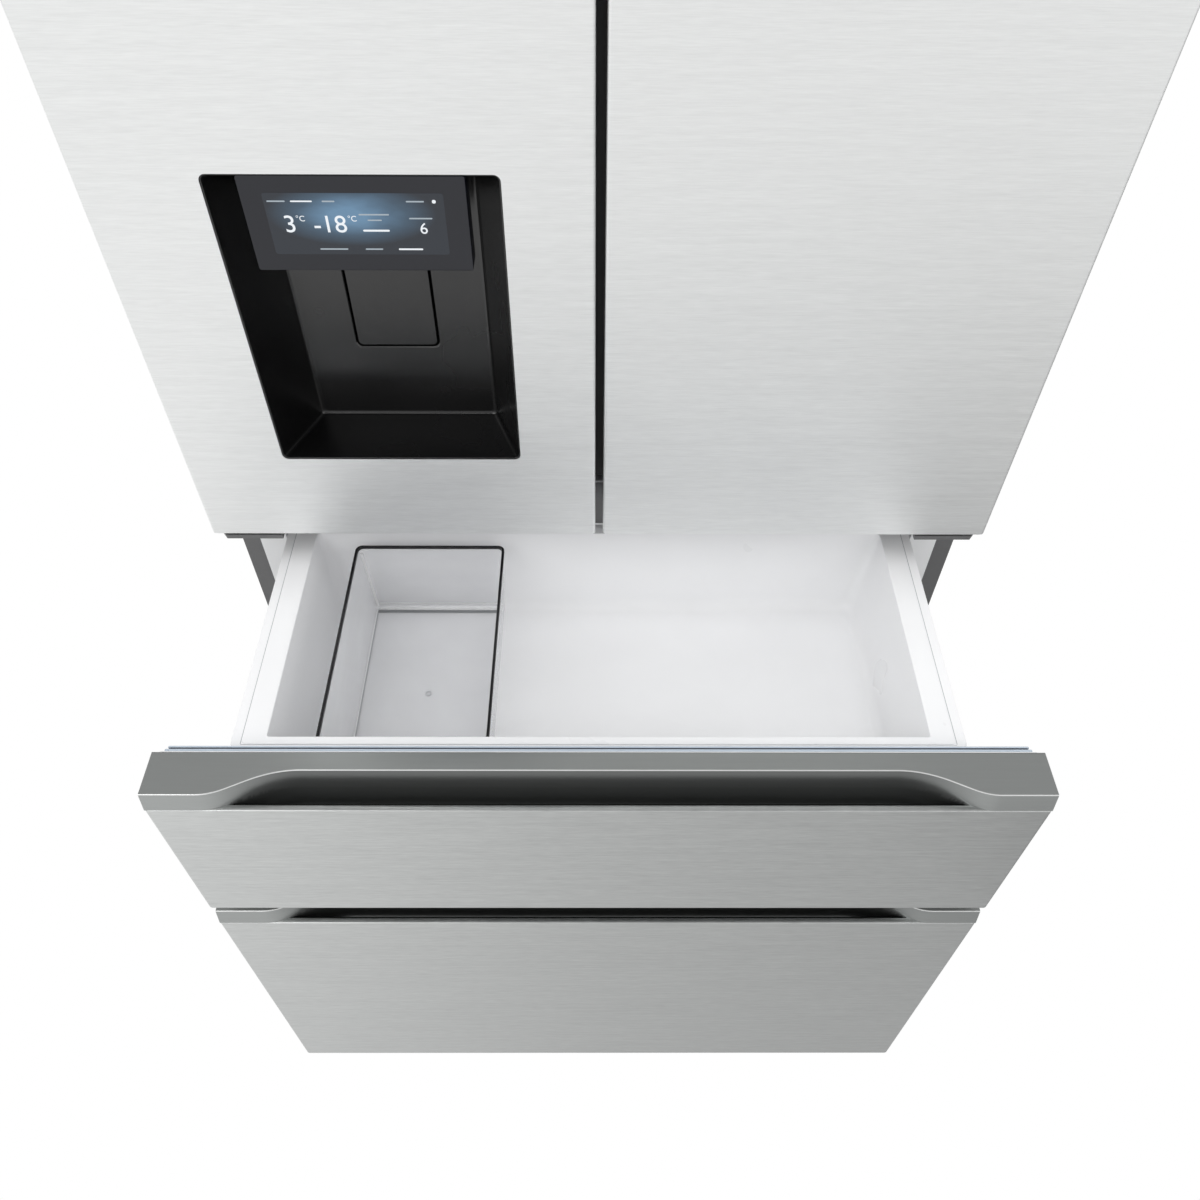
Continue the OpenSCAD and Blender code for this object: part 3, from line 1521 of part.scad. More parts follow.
// The passage from the ice bucket to the recess, with the water nozzle beside it
module dispenser_chute() {
    nozzle_r = 5;
    bore_r = 3;
    bore_len = 60;
    nozzle_x = recess_mid + chute_w / 2 + 22;
    nozzle_y = chute_low_y + 8;
    color(black) place() {
        difference() {
            chute_solid(chute_wall, 0);
            chute_solid(0, eps);
        }
        difference() {
            rod_z([nozzle_x, nozzle_y, chute_low_z], nozzle_r, recess_top - chute_low_z);
            rod_z([nozzle_x, nozzle_y, chute_low_z - eps], bore_r, bore_len);
        }
    }
}

// The ice maker and the bucket below it, with the bucket's outlet over the chute
module ice_maker() {
    x0 = -rib_out_x + ice_wall + bucket_gap;
    x1 = -rib_in_x - ice_wall - bucket_gap;
    y0 = edge_y + 4;
    top = rib_top - ice_wall;
    maker_z = top - ice_maker_h;
    maker_back = ice_y - 8;
    cups = 8;
    cup_w = 24;
    cup_pitch = 34;
    outlet_x = recess_mid - chute_w / 2;
    color(clear_grey) place() {
        difference() {
            block([x0, edge_y + 2, maker_z], [x1, maker_back, top]);
            for (i = [0:cups - 1]) translate([x0 + 20 + i * cup_pitch, y0 + 20, maker_z + 10])
                cube([cup_w, maker_back - 12 - y0 - 20, cup_w]);
            block([x0 + 10, y0 + 10, maker_z - eps], [x1 - 10, maker_back - 6, maker_z + 12]);
        }
        difference() {
            open_box([x0, y0, ice_z], [x1, ice_y - 4, maker_z - 6], bin_t);
            block([outlet_x, chute_top_y, ice_z - eps],
                [outlet_x + chute_w, chute_top_y + chute_d, ice_z + bin_t + eps]);
        }
    }
}

// The heated flap that both gaskets close on, hinged on the left door
module mullion_flap() {
    arm = 2.5;
    base = boss_len + knuckle_gap;
    color(black) place() difference() {
        union() {
            block([-flap_w / 2, flange_y, flap_z], [flap_w / 2, flange_y + flap_t, flap_top]);
            for (z = knuckle_zs) {
                rod_z([flap_x, flap_axis_y, z + base], knuckle_r, knuckle_len);
                block([flap_x, flap_axis_y - arm, z + base],
                    [-flap_w / 2 + eps, flap_axis_y + arm, z + base + knuckle_len]);
            }
        }
        for (z = knuckle_zs)
            rod_z([flap_x, flap_axis_y, z], flap_pin_r + pin_gap, 2 * boss_len + knuckle_len);
    }
}

module foot() {
    cylinder(r = foot_r, h = foot_h);
    translate([0, 0, foot_h]) cylinder(r = stem_r, h = stem_len);
}

module left_foot() {
    color(black) place() translate([-half_w + foot_inset, foot_y, 0]) foot();
}

module right_foot() {
    color(black) place() translate([half_w - foot_inset, foot_y, 0]) foot();
}

module roller() {
    rotate([0, 90, 0]) difference() {
        cylinder(r = roller_r, h = roller_w, center = true);
        cylinder(r = axle_r + pin_gap, h = roller_w + 2 * eps, center = true);
    }
}

module left_roller() {
    color(black) place() translate([-roller_x, roller_y, roller_r]) roller();
}

module right_roller() {
    color(black) place() translate([roller_x, roller_y, roller_r]) roller();
}

case_wrap();
rear_panels();
base_frame();
insulation();
fridge_liner();
drawer_liners();
front_rails();
toe_grille();
top_hinges();
middle_hinges();
hinge_covers();
hinge_screws();
compressor();
condenser_coil();
fan_bracket();
power_inlet();
evaporator();
evaporator_cover();
fridge_duct();
shelf_glass();
shelf_frames();
fridge_drawers();
cabinet_rails();
left_door_skin();
left_door_inner();
left_door_gasket();
left_door_caps();
left_door_bin();
dispenser_housing();
dispenser_display();
dispenser_chute();
ice_maker();
mullion_flap();
dispenser_paddle();
right_door_skin();
right_door_inner();
right_door_gasket();
right_door_caps();
right_door_bins();
middle_drawer_skin();
middle_drawer_inner();
middle_drawer_gasket();
middle_drawer_handle();
middle_basket();
middle_basket_rails();
organiser_box();
organiser_rim();
bottom_drawer_skin();
bottom_drawer_inner();
bottom_drawer_gasket();
bottom_drawer_handle();
bottom_basket();
bottom_basket_rails();
upper_tray();
left_foot();
right_foot();
left_roller();
right_roller();
condenser_fan();
freezer_fan();
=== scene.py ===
"""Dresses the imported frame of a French-door fridge freezer with two pull-out drawers.

The appliance's sizes are in millimetres in its own frame when closed: x runs to its right from
the middle, y runs back from the door faces, z runs up from the floor. Place turns such points
into the frame's metres, and pulls the drawers' pieces out by their travel.
"""

from __future__ import annotations

import logging
import math
from dataclasses import dataclass, field
from enum import Enum
from typing import Sequence

import bmesh
import bpy
import numpy as np
from mathutils import Matrix, Vector


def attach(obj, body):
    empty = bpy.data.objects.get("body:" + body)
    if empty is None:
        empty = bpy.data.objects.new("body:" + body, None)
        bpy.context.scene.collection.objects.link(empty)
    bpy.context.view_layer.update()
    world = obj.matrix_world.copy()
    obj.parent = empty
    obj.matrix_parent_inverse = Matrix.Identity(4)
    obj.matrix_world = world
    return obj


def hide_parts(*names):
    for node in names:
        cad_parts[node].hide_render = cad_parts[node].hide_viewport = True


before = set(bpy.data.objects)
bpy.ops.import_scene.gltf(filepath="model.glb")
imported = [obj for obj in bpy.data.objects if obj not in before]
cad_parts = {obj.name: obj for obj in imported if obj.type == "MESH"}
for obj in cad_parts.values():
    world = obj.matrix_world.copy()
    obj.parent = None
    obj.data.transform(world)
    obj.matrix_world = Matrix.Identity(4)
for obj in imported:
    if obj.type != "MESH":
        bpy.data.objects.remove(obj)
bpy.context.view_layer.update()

LOG = logging.getLogger("fridge")

Rect = tuple[float, float, float, float]
Point = tuple[float, float, float]
Colour = tuple[float, float, float]

MM = 0.001
# Points closer than the first length in metres are merged, and edges under the second are dropped
WELD, SPECK = 2e-6, 1e-7
# Where Blender's noise mostly lies between 0 and 1
NOISE_LOW, NOISE_HIGH = 0.3, 0.7

# How far both drawers stand open
TRAVEL = 338.6
# Depth of the closed appliance
CLOSED_DEPTH = 748.0
# Where the door faces stand in the frame, whose middle is that of the appliance with open drawers
FRONT_SHIFT = (TRAVEL - CLOSED_DEPTH) / 2
# Half of the appliance's width
HALF_W = 454.0
# Depth of the steel panels of doors and drawers
PANEL_D = 54.6
# Depth of the flat edge of their inner sides, which carries the gasket
EDGE_Y = 58.4
# How far a gasket stays inside the top and the bottom of its panel
SEAL_INSET = 5.5


class Place(Enum):
    """Where a piece stands: with the cabinet, or pulled out with a drawer."""

    CABINET = 0.0
    PULLED = -TRAVEL

    def metres(self, points: np.ndarray) -> np.ndarray:
        """Turns millimetres of the closed appliance into the frame's metres.

        Args:
            points: an array whose last axis is x, y, z.

        Returns:
            The same points in metres, moved to the piece's place.
        """
        return (points + np.array([0.0, FRONT_SHIFT + self.value, 0.0])) * MM


def rounded_loop(rect: Rect, radii: float | Sequence[float], steps: int = 6) -> np.ndarray:
    """Walks anticlockwise round a rectangle whose corners are quarter circles.

    A corner's point is its centre plus r (cos a, sin a), with a running over its own quarter turn.

    Args:
        rect: the sides x0, x1, y0, y1.
        radii: one radius, or one for each corner (x1, y1), (x0, y1), (x0, y0), (x1, y0).
        steps: spans in each corner.

    Returns:
        An array of 4 (steps + 1) points in the rectangle's plane.
    """
    x0, x1, y0, y1 = rect
    r = np.broadcast_to(np.asarray(radii, dtype=float), (4,))
    cx = np.array([x1 - r[0], x0 + r[1], x0 + r[2], x1 - r[3]])
    cy = np.array([y1 - r[0], y1 - r[1], y0 + r[2], y0 + r[3]])
    a = np.radians(np.arange(4)[:, None] * 90.0 + np.linspace(0.0, 90.0, steps + 1)[None, :])
    x = cx[:, None] + r[:, None] * np.cos(a)
    y = cy[:, None] + r[:, None] * np.sin(a)
    return np.stack([x.ravel(), y.ravel()], axis=-1)


def grown(rect: Rect, by: float | Sequence[float]) -> Rect:
    """Moves each side of a rectangle outwards.

    Args:
        rect: the sides x0, x1, y0, y1.
        by: one distance, or one for each side in that order.

    Returns:
        The grown rectangle.
    """
    b = np.broadcast_to(np.asarray(by, dtype=float), (4,))
    return (rect[0] - b[0], rect[1] + b[1], rect[2] - b[2], rect[3] + b[3])


def between(a: Rect, b: Rect, t: float) -> Rect:
    """Returns the rectangle a share t of the way from a to b."""
    return tuple(float(p + (q - p) * t) for p, q in zip(a, b))


def quarter(steps: int) -> np.ndarray:
    """Returns the angles of a quarter turn in radians."""
    return np.linspace(0.0, math.pi / 2, steps + 1)


def circle(radius: float, steps: int = 24) -> np.ndarray:
    """Returns the points (r cos a, r sin a) once round a circle."""
    a = np.linspace(0.0, 2 * math.pi, steps, endpoint=False)
    return radius * np.column_stack([np.cos(a), np.sin(a)])


def level(loop: np.ndarray, z: float) -> np.ndarray:
    """Puts a loop of x and y at a height."""
    return np.column_stack([loop, np.full(len(loop), z)])


def upright(loop: np.ndarray, y: float) -> np.ndarray:
    """Stands a loop of x and z in the plane at depth y."""
    return np.column_stack([loop[:, 0], np.full(len(loop), y), loop[:, 1]])


def put(thing: bpy.types.Object) -> None:
    """Links an object into the scene."""
    bpy.context.scene.collection.objects.link(thing)


def settle(thing: bpy.types.Object, finish: Finish, body: str, nodes: Sequence[str] = ()) -> None:
    """Puts a finished piece into the scene, gives it its finish and lets it ride on a body.

    Args:
        thing: the piece.
        finish: what it is made of.
        body: the moving body that it rides on.
        nodes: the solids that it stands for.
    """
    put(thing)
    finish.dress(thing)
    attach(thing, body)
    if nodes:
        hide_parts(*nodes)
    LOG.info("%s: %d faces on %s", thing.name, len(thing.data.polygons), body)


@dataclass
class Surface:
    """Rings of points gathered into one mesh.

    Attributes:
        place: where the surface stands.
        points: the vertices gathered so far, one array for each call.
        tones: a value for each of them that the finish may read.
        faces: the faces gathered so far, as tuples of vertex numbers.
        count: how many vertices there are so far.
    """

    place: Place = Place.CABINET
    points: list[np.ndarray] = field(default_factory=list)
    tones: list[np.ndarray] = field(default_factory=list)
    faces: list[tuple[int, ...]] = field(default_factory=list)
    count: int = 0

    def gather(self, points: np.ndarray, tones: np.ndarray, faces: np.ndarray) -> None:
        """Adds points and the faces between them.

        Args:
            points: the points, with x, y, z along the last axis.
            tones: a value for each point.
            faces: the faces, as numbers among these points.
        """
        self.points.append(points.reshape(-1, 3))
        self.tones.append(tones.ravel())
        self.faces.extend(map(tuple, (faces + self.count).tolist()))
        self.count += len(self.points[-1])

    def grid(self, p: np.ndarray, keep: np.ndarray | None = None,
             tone: np.ndarray | float = 0.0) -> None:
        """Adds quads between loops, each of whose last point joins its first.

        Args:
            p: the loops, as rows by columns by 3.
            keep: which quads stay, as rows - 1 by columns, or all of them.
            tone: a value for each point, as rows by columns.
        """
        rows, cols = p.shape[:2]
        i, j = np.meshgrid(np.arange(rows - 1), np.arange(cols), indexing="ij")
        k = (j + 1) % cols
        quads = np.stack([i * cols + j, i * cols + k, (i + 1) * cols + k, (i + 1) * cols + j], -1)
        quads = quads.reshape(-1, 4) if keep is None else quads[keep]
        self.gather(p, np.broadcast_to(tone, (rows, cols)), quads)

    def lid(self, loop: np.ndarray, tone: np.ndarray | float = 0.0) -> None:
        """Closes a loop with triangles that meet in its middle.

        Args:
            loop: the loop's points, n by 3.
            tone: a value for each point.
        """
        n = len(loop)
        a = np.arange(n)
        tones = np.broadcast_to(tone, (n,))
        self.gather(np.vstack([loop, loop.mean(axis=0)]), np.append(tones, tones.mean()),
                    np.stack([a, (a + 1) % n, np.full(n, n)], -1))

    def capped(self, p: np.ndarray, tone: np.ndarray | float = 0.0) -> None:
        """Adds quads between loops, and a lid on the first and the last of them.

        Args:
            p: the loops, as rows by columns by 3.
            tone: a value for each point, as rows by columns.
        """
        tones = np.broadcast_to(tone, p.shape[:2])
        self.grid(p, tone=tones)
        self.lid(p[0], tones[0])
        self.lid(p[-1], tones[-1])

    def bar(self, a: Point, b: Point, u: Point, v: Point) -> None:
        """Adds a closed bar between two points.

        Args:
            a: the middle of one end.
            b: the middle of the other end.
            u: half of its section's first side.
            v: half of its section's second side.
        """
        side, rise = np.asarray(u, dtype=float), np.asarray(v, dtype=float)
        loop = np.array([-side - rise, side - rise, side + rise, -side + rise])
        self.capped(np.array([np.asarray(a) + loop, np.asarray(b) + loop]))

    def piece(self, name: str, finish: Finish, body: str, nodes: Sequence[str] = (),
              closed: bool = True, wall: float = 0.0, sharp: float = 32.0) -> None:
        """Makes the object, gives it its finish and lets it ride on a body.

        Args:
            name: the object's name.
            finish: what it is made of.
            body: the moving body that it rides on.
            nodes: the solids that it stands for.
            closed: whether the surface closes, so that its faces can be turned outwards.
            wall: thickness given to an open sheet, in millimetres, behind its faces.
            sharp: angle in degrees above which an edge stays sharp.
        """
        mesh = bpy.data.meshes.new(name)
        mesh.from_pydata(self.place.metres(np.vstack(self.points)), [], self.faces)
        tones = np.concatenate(self.tones)
        if tones.any():
            values = mesh.attributes.new("tone", "FLOAT", "POINT").data
            values.foreach_set("value", tones.astype(np.float32))
        work = bmesh.new()
        work.from_mesh(mesh)
        bmesh.ops.remove_doubles(work, verts=work.verts, dist=WELD)
        bmesh.ops.dissolve_degenerate(work, edges=work.edges, dist=SPECK)
        if closed:
            bmesh.ops.recalc_face_normals(work, faces=work.faces)
        work.to_mesh(mesh)
        work.free()
        mesh.shade_smooth()
        mesh.set_sharp_from_angle(angle=math.radians(sharp))
        thing = bpy.data.objects.new(name, mesh)
        if wall:
            solid = thing.modifiers.new("wall", "SOLIDIFY")
            solid.thickness = wall * MM
            solid.offset = -1.0
        settle(thing, finish, body, nodes)


class Nodes:
    """A node tree, with short calls that add and join its nodes."""

    def __init__(self, tree: bpy.types.NodeTree) -> None:
        """Takes the tree that the calls work on."""
        self.tree = tree

    def add(self, kind: str, **values: object) -> bpy.types.Node:
        """Adds a node and sets its inputs by name.

        Args:
            kind: the node's type.
            values: inputs by name, with underscores for spaces.

        Returns:
            The node.
        """
        node = self.tree.nodes.new(kind)
        for key, value in values.items():
            node.inputs[key.replace("_", " ")].default_value = value
        return node

    def join(self, out: bpy.types.NodeSocket, into: bpy.types.NodeSocket) -> None:
        """Links one socket to another."""
        self.tree.links.new(out, into)

    def feed(self, node: bpy.types.Node, values: dict[int, object]) -> None:
        """Fills a node's inputs.

        Args:
            node: the node.
            values: a socket to link or a plain value to set, by the input's number.
        """
        for index, value in values.items():
            if isinstance(value, bpy.types.NodeSocket):
                self.join(value, node.inputs[index])
            else:
                node.inputs[index].default_value = value

    def ramp(self, value: bpy.types.NodeSocket,
             stops: Sequence[tuple[float, Colour]]) -> bpy.types.NodeSocket:
        """Turns a value into a colour.

        Args:
            value: the value's socket.
            stops: places along the ramp with their colours.

        Returns:
            The colour's socket.
        """
        node = self.add("ShaderNodeValToRGB")
        while len(node.color_ramp.elements) < len(stops):
            node.color_ramp.elements.new(0.5)
        for element, (place, colour) in zip(node.color_ramp.elements, stops):
            element.position = place
            element.color = (*colour, 1.0)
        self.join(value, node.inputs["Fac"])
        return node.outputs["Color"]

    def arithmetic(self, operation: str, a: object, b: object) -> bpy.types.NodeSocket:
        """Works out one number from two.

        Args:
            operation: Blender's name of the operation.
            a: the first number, as a socket or a plain value.
            b: the second number, likewise.

        Returns:
            The result's socket.
        """
        node = self.add("ShaderNodeMath")
        node.operation = operation
        self.feed(node, {0: a, 1: b})
        return node.outputs["Value"]

    def mix_colours(self, share: object, a: object, b: object,
                    blend: str = "MIX") -> bpy.types.NodeSocket:
        """Mixes two colours.

        Args:
            share: how much of the second shows, as a socket or a plain value.
            a: the first colour, likewise.
            b: the second colour, likewise.
            blend: Blender's name of the way in which they mix.

        Returns:
            The mixed colour's socket.
        """
        node = self.add("ShaderNodeMix")
        node.data_type = "RGBA"
        node.blend_type = blend
        self.feed(node, {0: share, 6: a, 7: b})
        return node.outputs[2]

    def mix_shaders(self, share: bpy.types.NodeSocket, a: bpy.types.NodeSocket,
                    b: bpy.types.NodeSocket) -> bpy.types.NodeSocket:
        """Mixes two shaders.

        Args:
            share: how much of the second shows.
            a: the first shader.
            b: the second shader.

        Returns:
            The mixed shader's socket.
        """
        node = self.add("ShaderNodeMixShader")
        self.feed(node, {0: share, 1: a, 2: b})
        return node.outputs["Shader"]


class Graph(Nodes):
    """A material's nodes, which end in one shader."""

    def __init__(self, name: str) -> None:
        """Starts a material with only its shader and output.

        Args:
            name: the material's name.
        """
        self.material = bpy.data.materials.new(name)
        self.material.use_nodes = True
        super().__init__(self.material.node_tree)
        self.tree.nodes.clear()
        self.output = self.add("ShaderNodeOutputMaterial")
        self.shader = self.add("ShaderNodeBsdfPrincipled")
        self.join(self.shader.outputs["BSDF"], self.output.inputs["Surface"])

    def coordinates(self, scale: Point, offset: Point = (0.0, 0.0, 0.0)) -> bpy.types.NodeSocket:
        """Adds Object coordinates.

        Args:
            scale: their stretch along each axis.
            offset: their shift after it.

        Returns:
            The coordinates' socket.
        """
        source = self.add("ShaderNodeTexCoord")
        mapping = self.add("ShaderNodeMapping", Scale=scale, Location=offset)
        self.join(source.outputs["Object"], mapping.inputs["Vector"])
        return mapping.outputs["Vector"]

    def noise(self, scale: Point, detail: float = 2.0, rough: float = 0.5) -> bpy.types.NodeSocket:
        """Adds noise between 0 and 1.

        Args:
            scale: how many grains go to a metre along each axis.
            detail: the number of finer layers.
            rough: how strong they are.

        Returns:
            The noise's socket.
        """
        node = self.add("ShaderNodeTexNoise", Scale=1.0, Detail=detail, Roughness=rough)
        self.join(self.coordinates(scale), node.inputs["Vector"])
        return node.outputs["Fac"]

    def spread(self, value: bpy.types.NodeSocket, low: float, high: float) -> bpy.types.NodeSocket:
        """Maps noise from its usual range to another.

        Args:
            value: the noise's socket.
            low: what its low end becomes.
            high: what its high end becomes.

        Returns:
            The mapped value's socket.
        """
        node = self.add("ShaderNodeMapRange", From_Min=NOISE_LOW, From_Max=NOISE_HIGH,
                        To_Min=low, To_Max=high)
        self.join(value, node.inputs["Value"])
        return node.outputs["Result"]

    def bump(self, height: bpy.types.NodeSocket, strength: float, depth: float) -> None:
        """Raises the surface.

        Args:
            height: the height's socket.
            strength: how strongly it shows, up to 1.
            depth: its depth in metres.
        """
        node = self.add("ShaderNodeBump", Strength=strength, Distance=depth)
        self.join(height, node.inputs["Height"])
        self.join(node.outputs["Normal"], self.shader.inputs["Normal"])

    def set(self, **values: object) -> None:
        """Sets the shader's own sockets by name, with underscores for spaces."""
        for key, value in values.items():
            self.shader.inputs[key.replace("_", " ")].default_value = value


def tinted(colour: Colour, share: float) -> Colour:
    """Scales a colour by a share, kept below 1."""
    return tuple(min(1.0, c * share) for c in colour)


def grey(value: float) -> Colour:
    """Returns a grey of one brightness."""
    return (value, value, value)


@dataclass(frozen=True)
class Finish:
    """What a piece is made of.

    Attributes:
        label: the finish's own name, which its material takes.
        slot: the record's slot that the finish belongs to.
        colour: the base colour.
        rough: the mean roughness.
    """

    label: str
    slot: str
    colour: Colour
    rough: float = 0.4

    def paint(self, g: Graph) -> None:
        """Adds the finish's own nodes; a kind of finish overrides this."""
        g.set(Base_Color=(*self.colour, 1.0), Roughness=self.rough)

    def vary(self, g: Graph, value: bpy.types.NodeSocket, tones: tuple[float, float],
             scatter: tuple[float, float]) -> None:
        """Lets a noise vary the colour and the roughness.

        Args:
            g: the material's nodes.
            value: the noise's socket.
            tones: shares of the colour at the noise's low and high end.
            scatter: what is added to the roughness there.
        """
        stops = [(NOISE_LOW, tinted(self.colour, tones[0])), (NOISE_HIGH, tinted(self.colour, tones[1]))]
        g.join(g.ramp(value, stops), g.shader.inputs["Base Color"])
        spread = g.spread(value, self.rough + scatter[0], self.rough + scatter[1])
        g.join(spread, g.shader.inputs["Roughness"])

    def material(self) -> bpy.types.Material:
        """Finds the finish's material, or makes it on its first use.

        Returns:
            The material.
        """
        found = bpy.data.materials.get(self.label)
        if found is None:
            g = Graph(self.label)
            self.paint(g)
            g.material.diffuse_color = (*self.colour, 1.0)
            found = g.material
        return found

    def dress(self, thing: bpy.types.Object) -> None:
        """Gives every material slot of an object this finish.

        Args:
            thing: the object.
        """
        if not thing.data.materials:
            thing.data.materials.append(self.material())
        for place in thing.material_slots:
            place.material = self.material()


@dataclass(frozen=True)
class BrushedSteel(Finish):
    """Steel with fine brushing along x and y.

    Attributes:
        contrast: how far the brushing changes the colour.
        strokes: strokes to the metre of height, of the finer brushing.
    """

    contrast: float = 0.06
    strokes: float = 1100.0

    def paint(self, g: Graph) -> None:
        """Streaks of two sizes in the colour, in the roughness and as shallow scratches.

        Args:
            g: the material's nodes.
        """
        fine = g.noise((50.0, 50.0, self.strokes), 3.0, 0.6)
        wide = g.noise((12.0, 12.0, 260.0), 2.0, 0.5)
        mixed = g.add("ShaderNodeMix", Factor=0.35)
        g.join(fine, mixed.inputs["A"])
        g.join(wide, mixed.inputs["B"])
        streak = mixed.outputs["Result"]
        self.vary(g, streak, (1 - self.contrast, 1 + self.contrast), (-0.04, 0.05))
        g.bump(streak, 0.12, 0.00004)
        g.set(Metallic=1.0)


@dataclass(frozen=True)
class SatinMetal(Finish):
    """Painted or coated metal with a faint orange peel.

    Attributes:
        metallic: 1 for bare metal or metallic paint, 0 for plain paint.
        peel: strength of the orange peel.
    """

    metallic: float = 0.0
    peel: float = 0.06

    def paint(self, g: Graph) -> None:
        """A faint mottle in the colour and in the roughness, and a finer one as relief.

        Args:
            g: the material's nodes.
        """
        self.vary(g, g.noise((220.0, 220.0, 220.0), 3.0), (0.96, 1.04), (-0.03, 0.03))
        g.bump(g.noise((700.0, 700.0, 700.0), 1.0), self.peel, 0.0001)
        g.set(Metallic=self.metallic)


@dataclass(frozen=True)
class HandleMetal(Finish):
    """Metallic grey satin paint, with a painted highlight along the handle's edge and painted shade in its
    pocket.

    Attributes:
        edge: the colour of the painted highlight along the edge.
    """

    edge: Colour = (0.86, 0.87, 0.86)

    def paint(self, g: Graph) -> None:
        """A ramp over the mesh's tone: 0 for painted pocket shade, half on the faces, 1 for the painted edge
        highlight.

        Args:
            g: the material's nodes.
        """
        tone = g.add("ShaderNodeAttribute")
        tone.attribute_name = "tone"
        # Near black at the low end is painted shade for the pocket; the edge colour at the top is a painted
        # highlight
        stops = [(0.0, tinted(self.colour, 0.02)), (0.1, tinted(self.colour, 0.34)),
                 (0.3, tinted(self.colour, 0.42)), (0.5, self.colour), (0.62, self.colour),
                 (1.0, self.edge)]
        base = g.ramp(tone.outputs["Fac"], stops)
        streak = g.noise((14.0, 420.0, 420.0), 2.0)
        lines = g.ramp(streak, [(NOISE_LOW, grey(0.97)), (NOISE_HIGH, grey(1.0))])
        g.join(g.mix_colours(1.0, base, lines, "MULTIPLY"), g.shader.inputs["Base Color"])
        g.join(g.spread(streak, self.rough - 0.01, self.rough + 0.01), g.shader.inputs["Roughness"])
        g.set(Metallic=0.75)


@dataclass(frozen=True)
class ZincSheet(Finish):
    """Galvanised sheet with soft spangles."""

    def paint(self, g: Graph) -> None:
        """Cells of slightly different grey, as zinc crystals have.

        Args:
            g: the material's nodes.
        """
        cells = g.add("ShaderNodeTexVoronoi", Scale=1.0, Randomness=1.0)
        g.join(g.coordinates((160.0, 160.0, 160.0)), cells.inputs["Vector"])
        tone = g.add("ShaderNodeSeparateColor")
        g.join(cells.outputs["Color"], tone.inputs["Color"])
        stops = [(0.0, tinted(self.colour, 0.88)), (1.0, tinted(self.colour, 1.08))]
        g.join(g.ramp(tone.outputs["Red"], stops), g.shader.inputs["Base Color"])
        spread = g.spread(tone.outputs["Green"], self.rough - 0.05, self.rough + 0.08)
        g.join(spread, g.shader.inputs["Roughness"])
        g.set(Metallic=1.0)


@dataclass(frozen=True)
class MouldedPlastic(Finish):
    """Injection moulded plastic.

    Attributes:
        grain: strength of the moulded texture.
        coat: strength of a glossy top layer.
        shine: strength of its mirror light, 0.5 for common plastic.
    """

    grain: float = 0.05
    coat: float = 0.0
    shine: float = 0.5

    def paint(self, g: Graph) -> None:
        """A cloudy tone from the melt's flow, and the tool's fine texture as relief.

        Args:
            g: the material's nodes.
        """
        self.vary(g, g.noise((9.0, 9.0, 9.0), 3.0), (0.985, 1.015), (-0.03, 0.04))
        g.bump(g.noise((1400.0, 1400.0, 1400.0), 2.0), self.grain, 0.00006)
        g.set(Coat_Weight=self.coat, Coat_Roughness=0.12, Specular_IOR_Level=self.shine)


@dataclass(frozen=True)
class SoftRubber(Finish):
    """Soft extruded gasket material with a dusty bloom."""

    def paint(self, g: Graph) -> None:
        """A faint bloom in patches over a matte surface.

        Args:
            g: the material's nodes.
        """
        self.vary(g, g.noise((60.0, 60.0, 60.0), 4.0, 0.6), (0.96, 1.03), (-0.05, 0.05))
        g.bump(g.noise((900.0, 900.0, 900.0), 2.0), 0.08, 0.0001)


@dataclass(frozen=True)
class ClearPlastic(Finish):
    """Tinted see-through plastic of a bin or box.

    Attributes:
        solid: how much of the surface shows, from 0, clear, to 1.
    """

    solid: float = 0.45

    def paint(self, g: Graph) -> None:
        """A clear body with faint flow lines and fine surface waves.

        Args:
            g: the material's nodes.
        """
        self.vary(g, g.noise((12.0, 12.0, 30.0), 2.0), (0.97, 1.03), (-0.02, 0.04))
        g.bump(g.noise((40.0, 40.0, 40.0), 1.0), 0.02, 0.0002)
        g.set(Alpha=self.solid)


@dataclass(frozen=True)
class ShelfGlass(Finish):
    """Flat toughened glass of a faint green."""

    def paint(self, g: Graph) -> None:
        """Clear glass whose roughness carries a trace of wiping marks.

        Args:
            g: the material's nodes.
        """
        wipes = g.noise((14.0, 40.0, 14.0), 3.0)
        g.join(g.spread(wipes, 0.02, 0.06), g.shader.inputs["Roughness"])
        g.set(Base_Color=(*self.colour, 1.0), Transmission_Weight=0.9, IOR=1.5)


@dataclass(frozen=True)
class ScreenGlow(Finish):
    """A lit screen: a soft blue-grey light that fades to its corners.

    Attributes:
        centre: the light's middle in metres.
        reach: how far it spreads along x and z, in metres.
    """

    centre: Point = (0.0, 0.0, 0.0)
    reach: tuple[float, float] = (0.1, 0.04)

    def paint(self, g: Graph) -> None:
        """A round falloff about the centre, broken up by slow waves.

        Args:
            g: the material's nodes.
        """
        sx, sz = 1 / self.reach[0], 1 / self.reach[1]
        offset = (-self.centre[0] * sx, -self.centre[1], -self.centre[2] * sz)
        ball = g.add("ShaderNodeTexGradient")
        ball.gradient_type = "SPHERICAL"
        g.join(g.coordinates((sx, 1.0, sz), offset), ball.inputs["Vector"])
        waves = g.spread(g.noise((26.0, 1.0, 60.0), 3.0, 0.55), 0.85, 1.15)
        light = g.arithmetic("MULTIPLY", ball.outputs["Fac"], waves)
        stops = [(0.0, (0.010, 0.015, 0.022)), (0.35, tinted(self.colour, 0.45)),
                 (0.8, tinted(self.colour, 1.35))]
        g.join(g.ramp(light, stops), g.shader.inputs["Emission Color"])
        g.set(Base_Color=(0.01, 0.01, 0.012, 1.0), Roughness=self.rough, Emission_Strength=1.0)


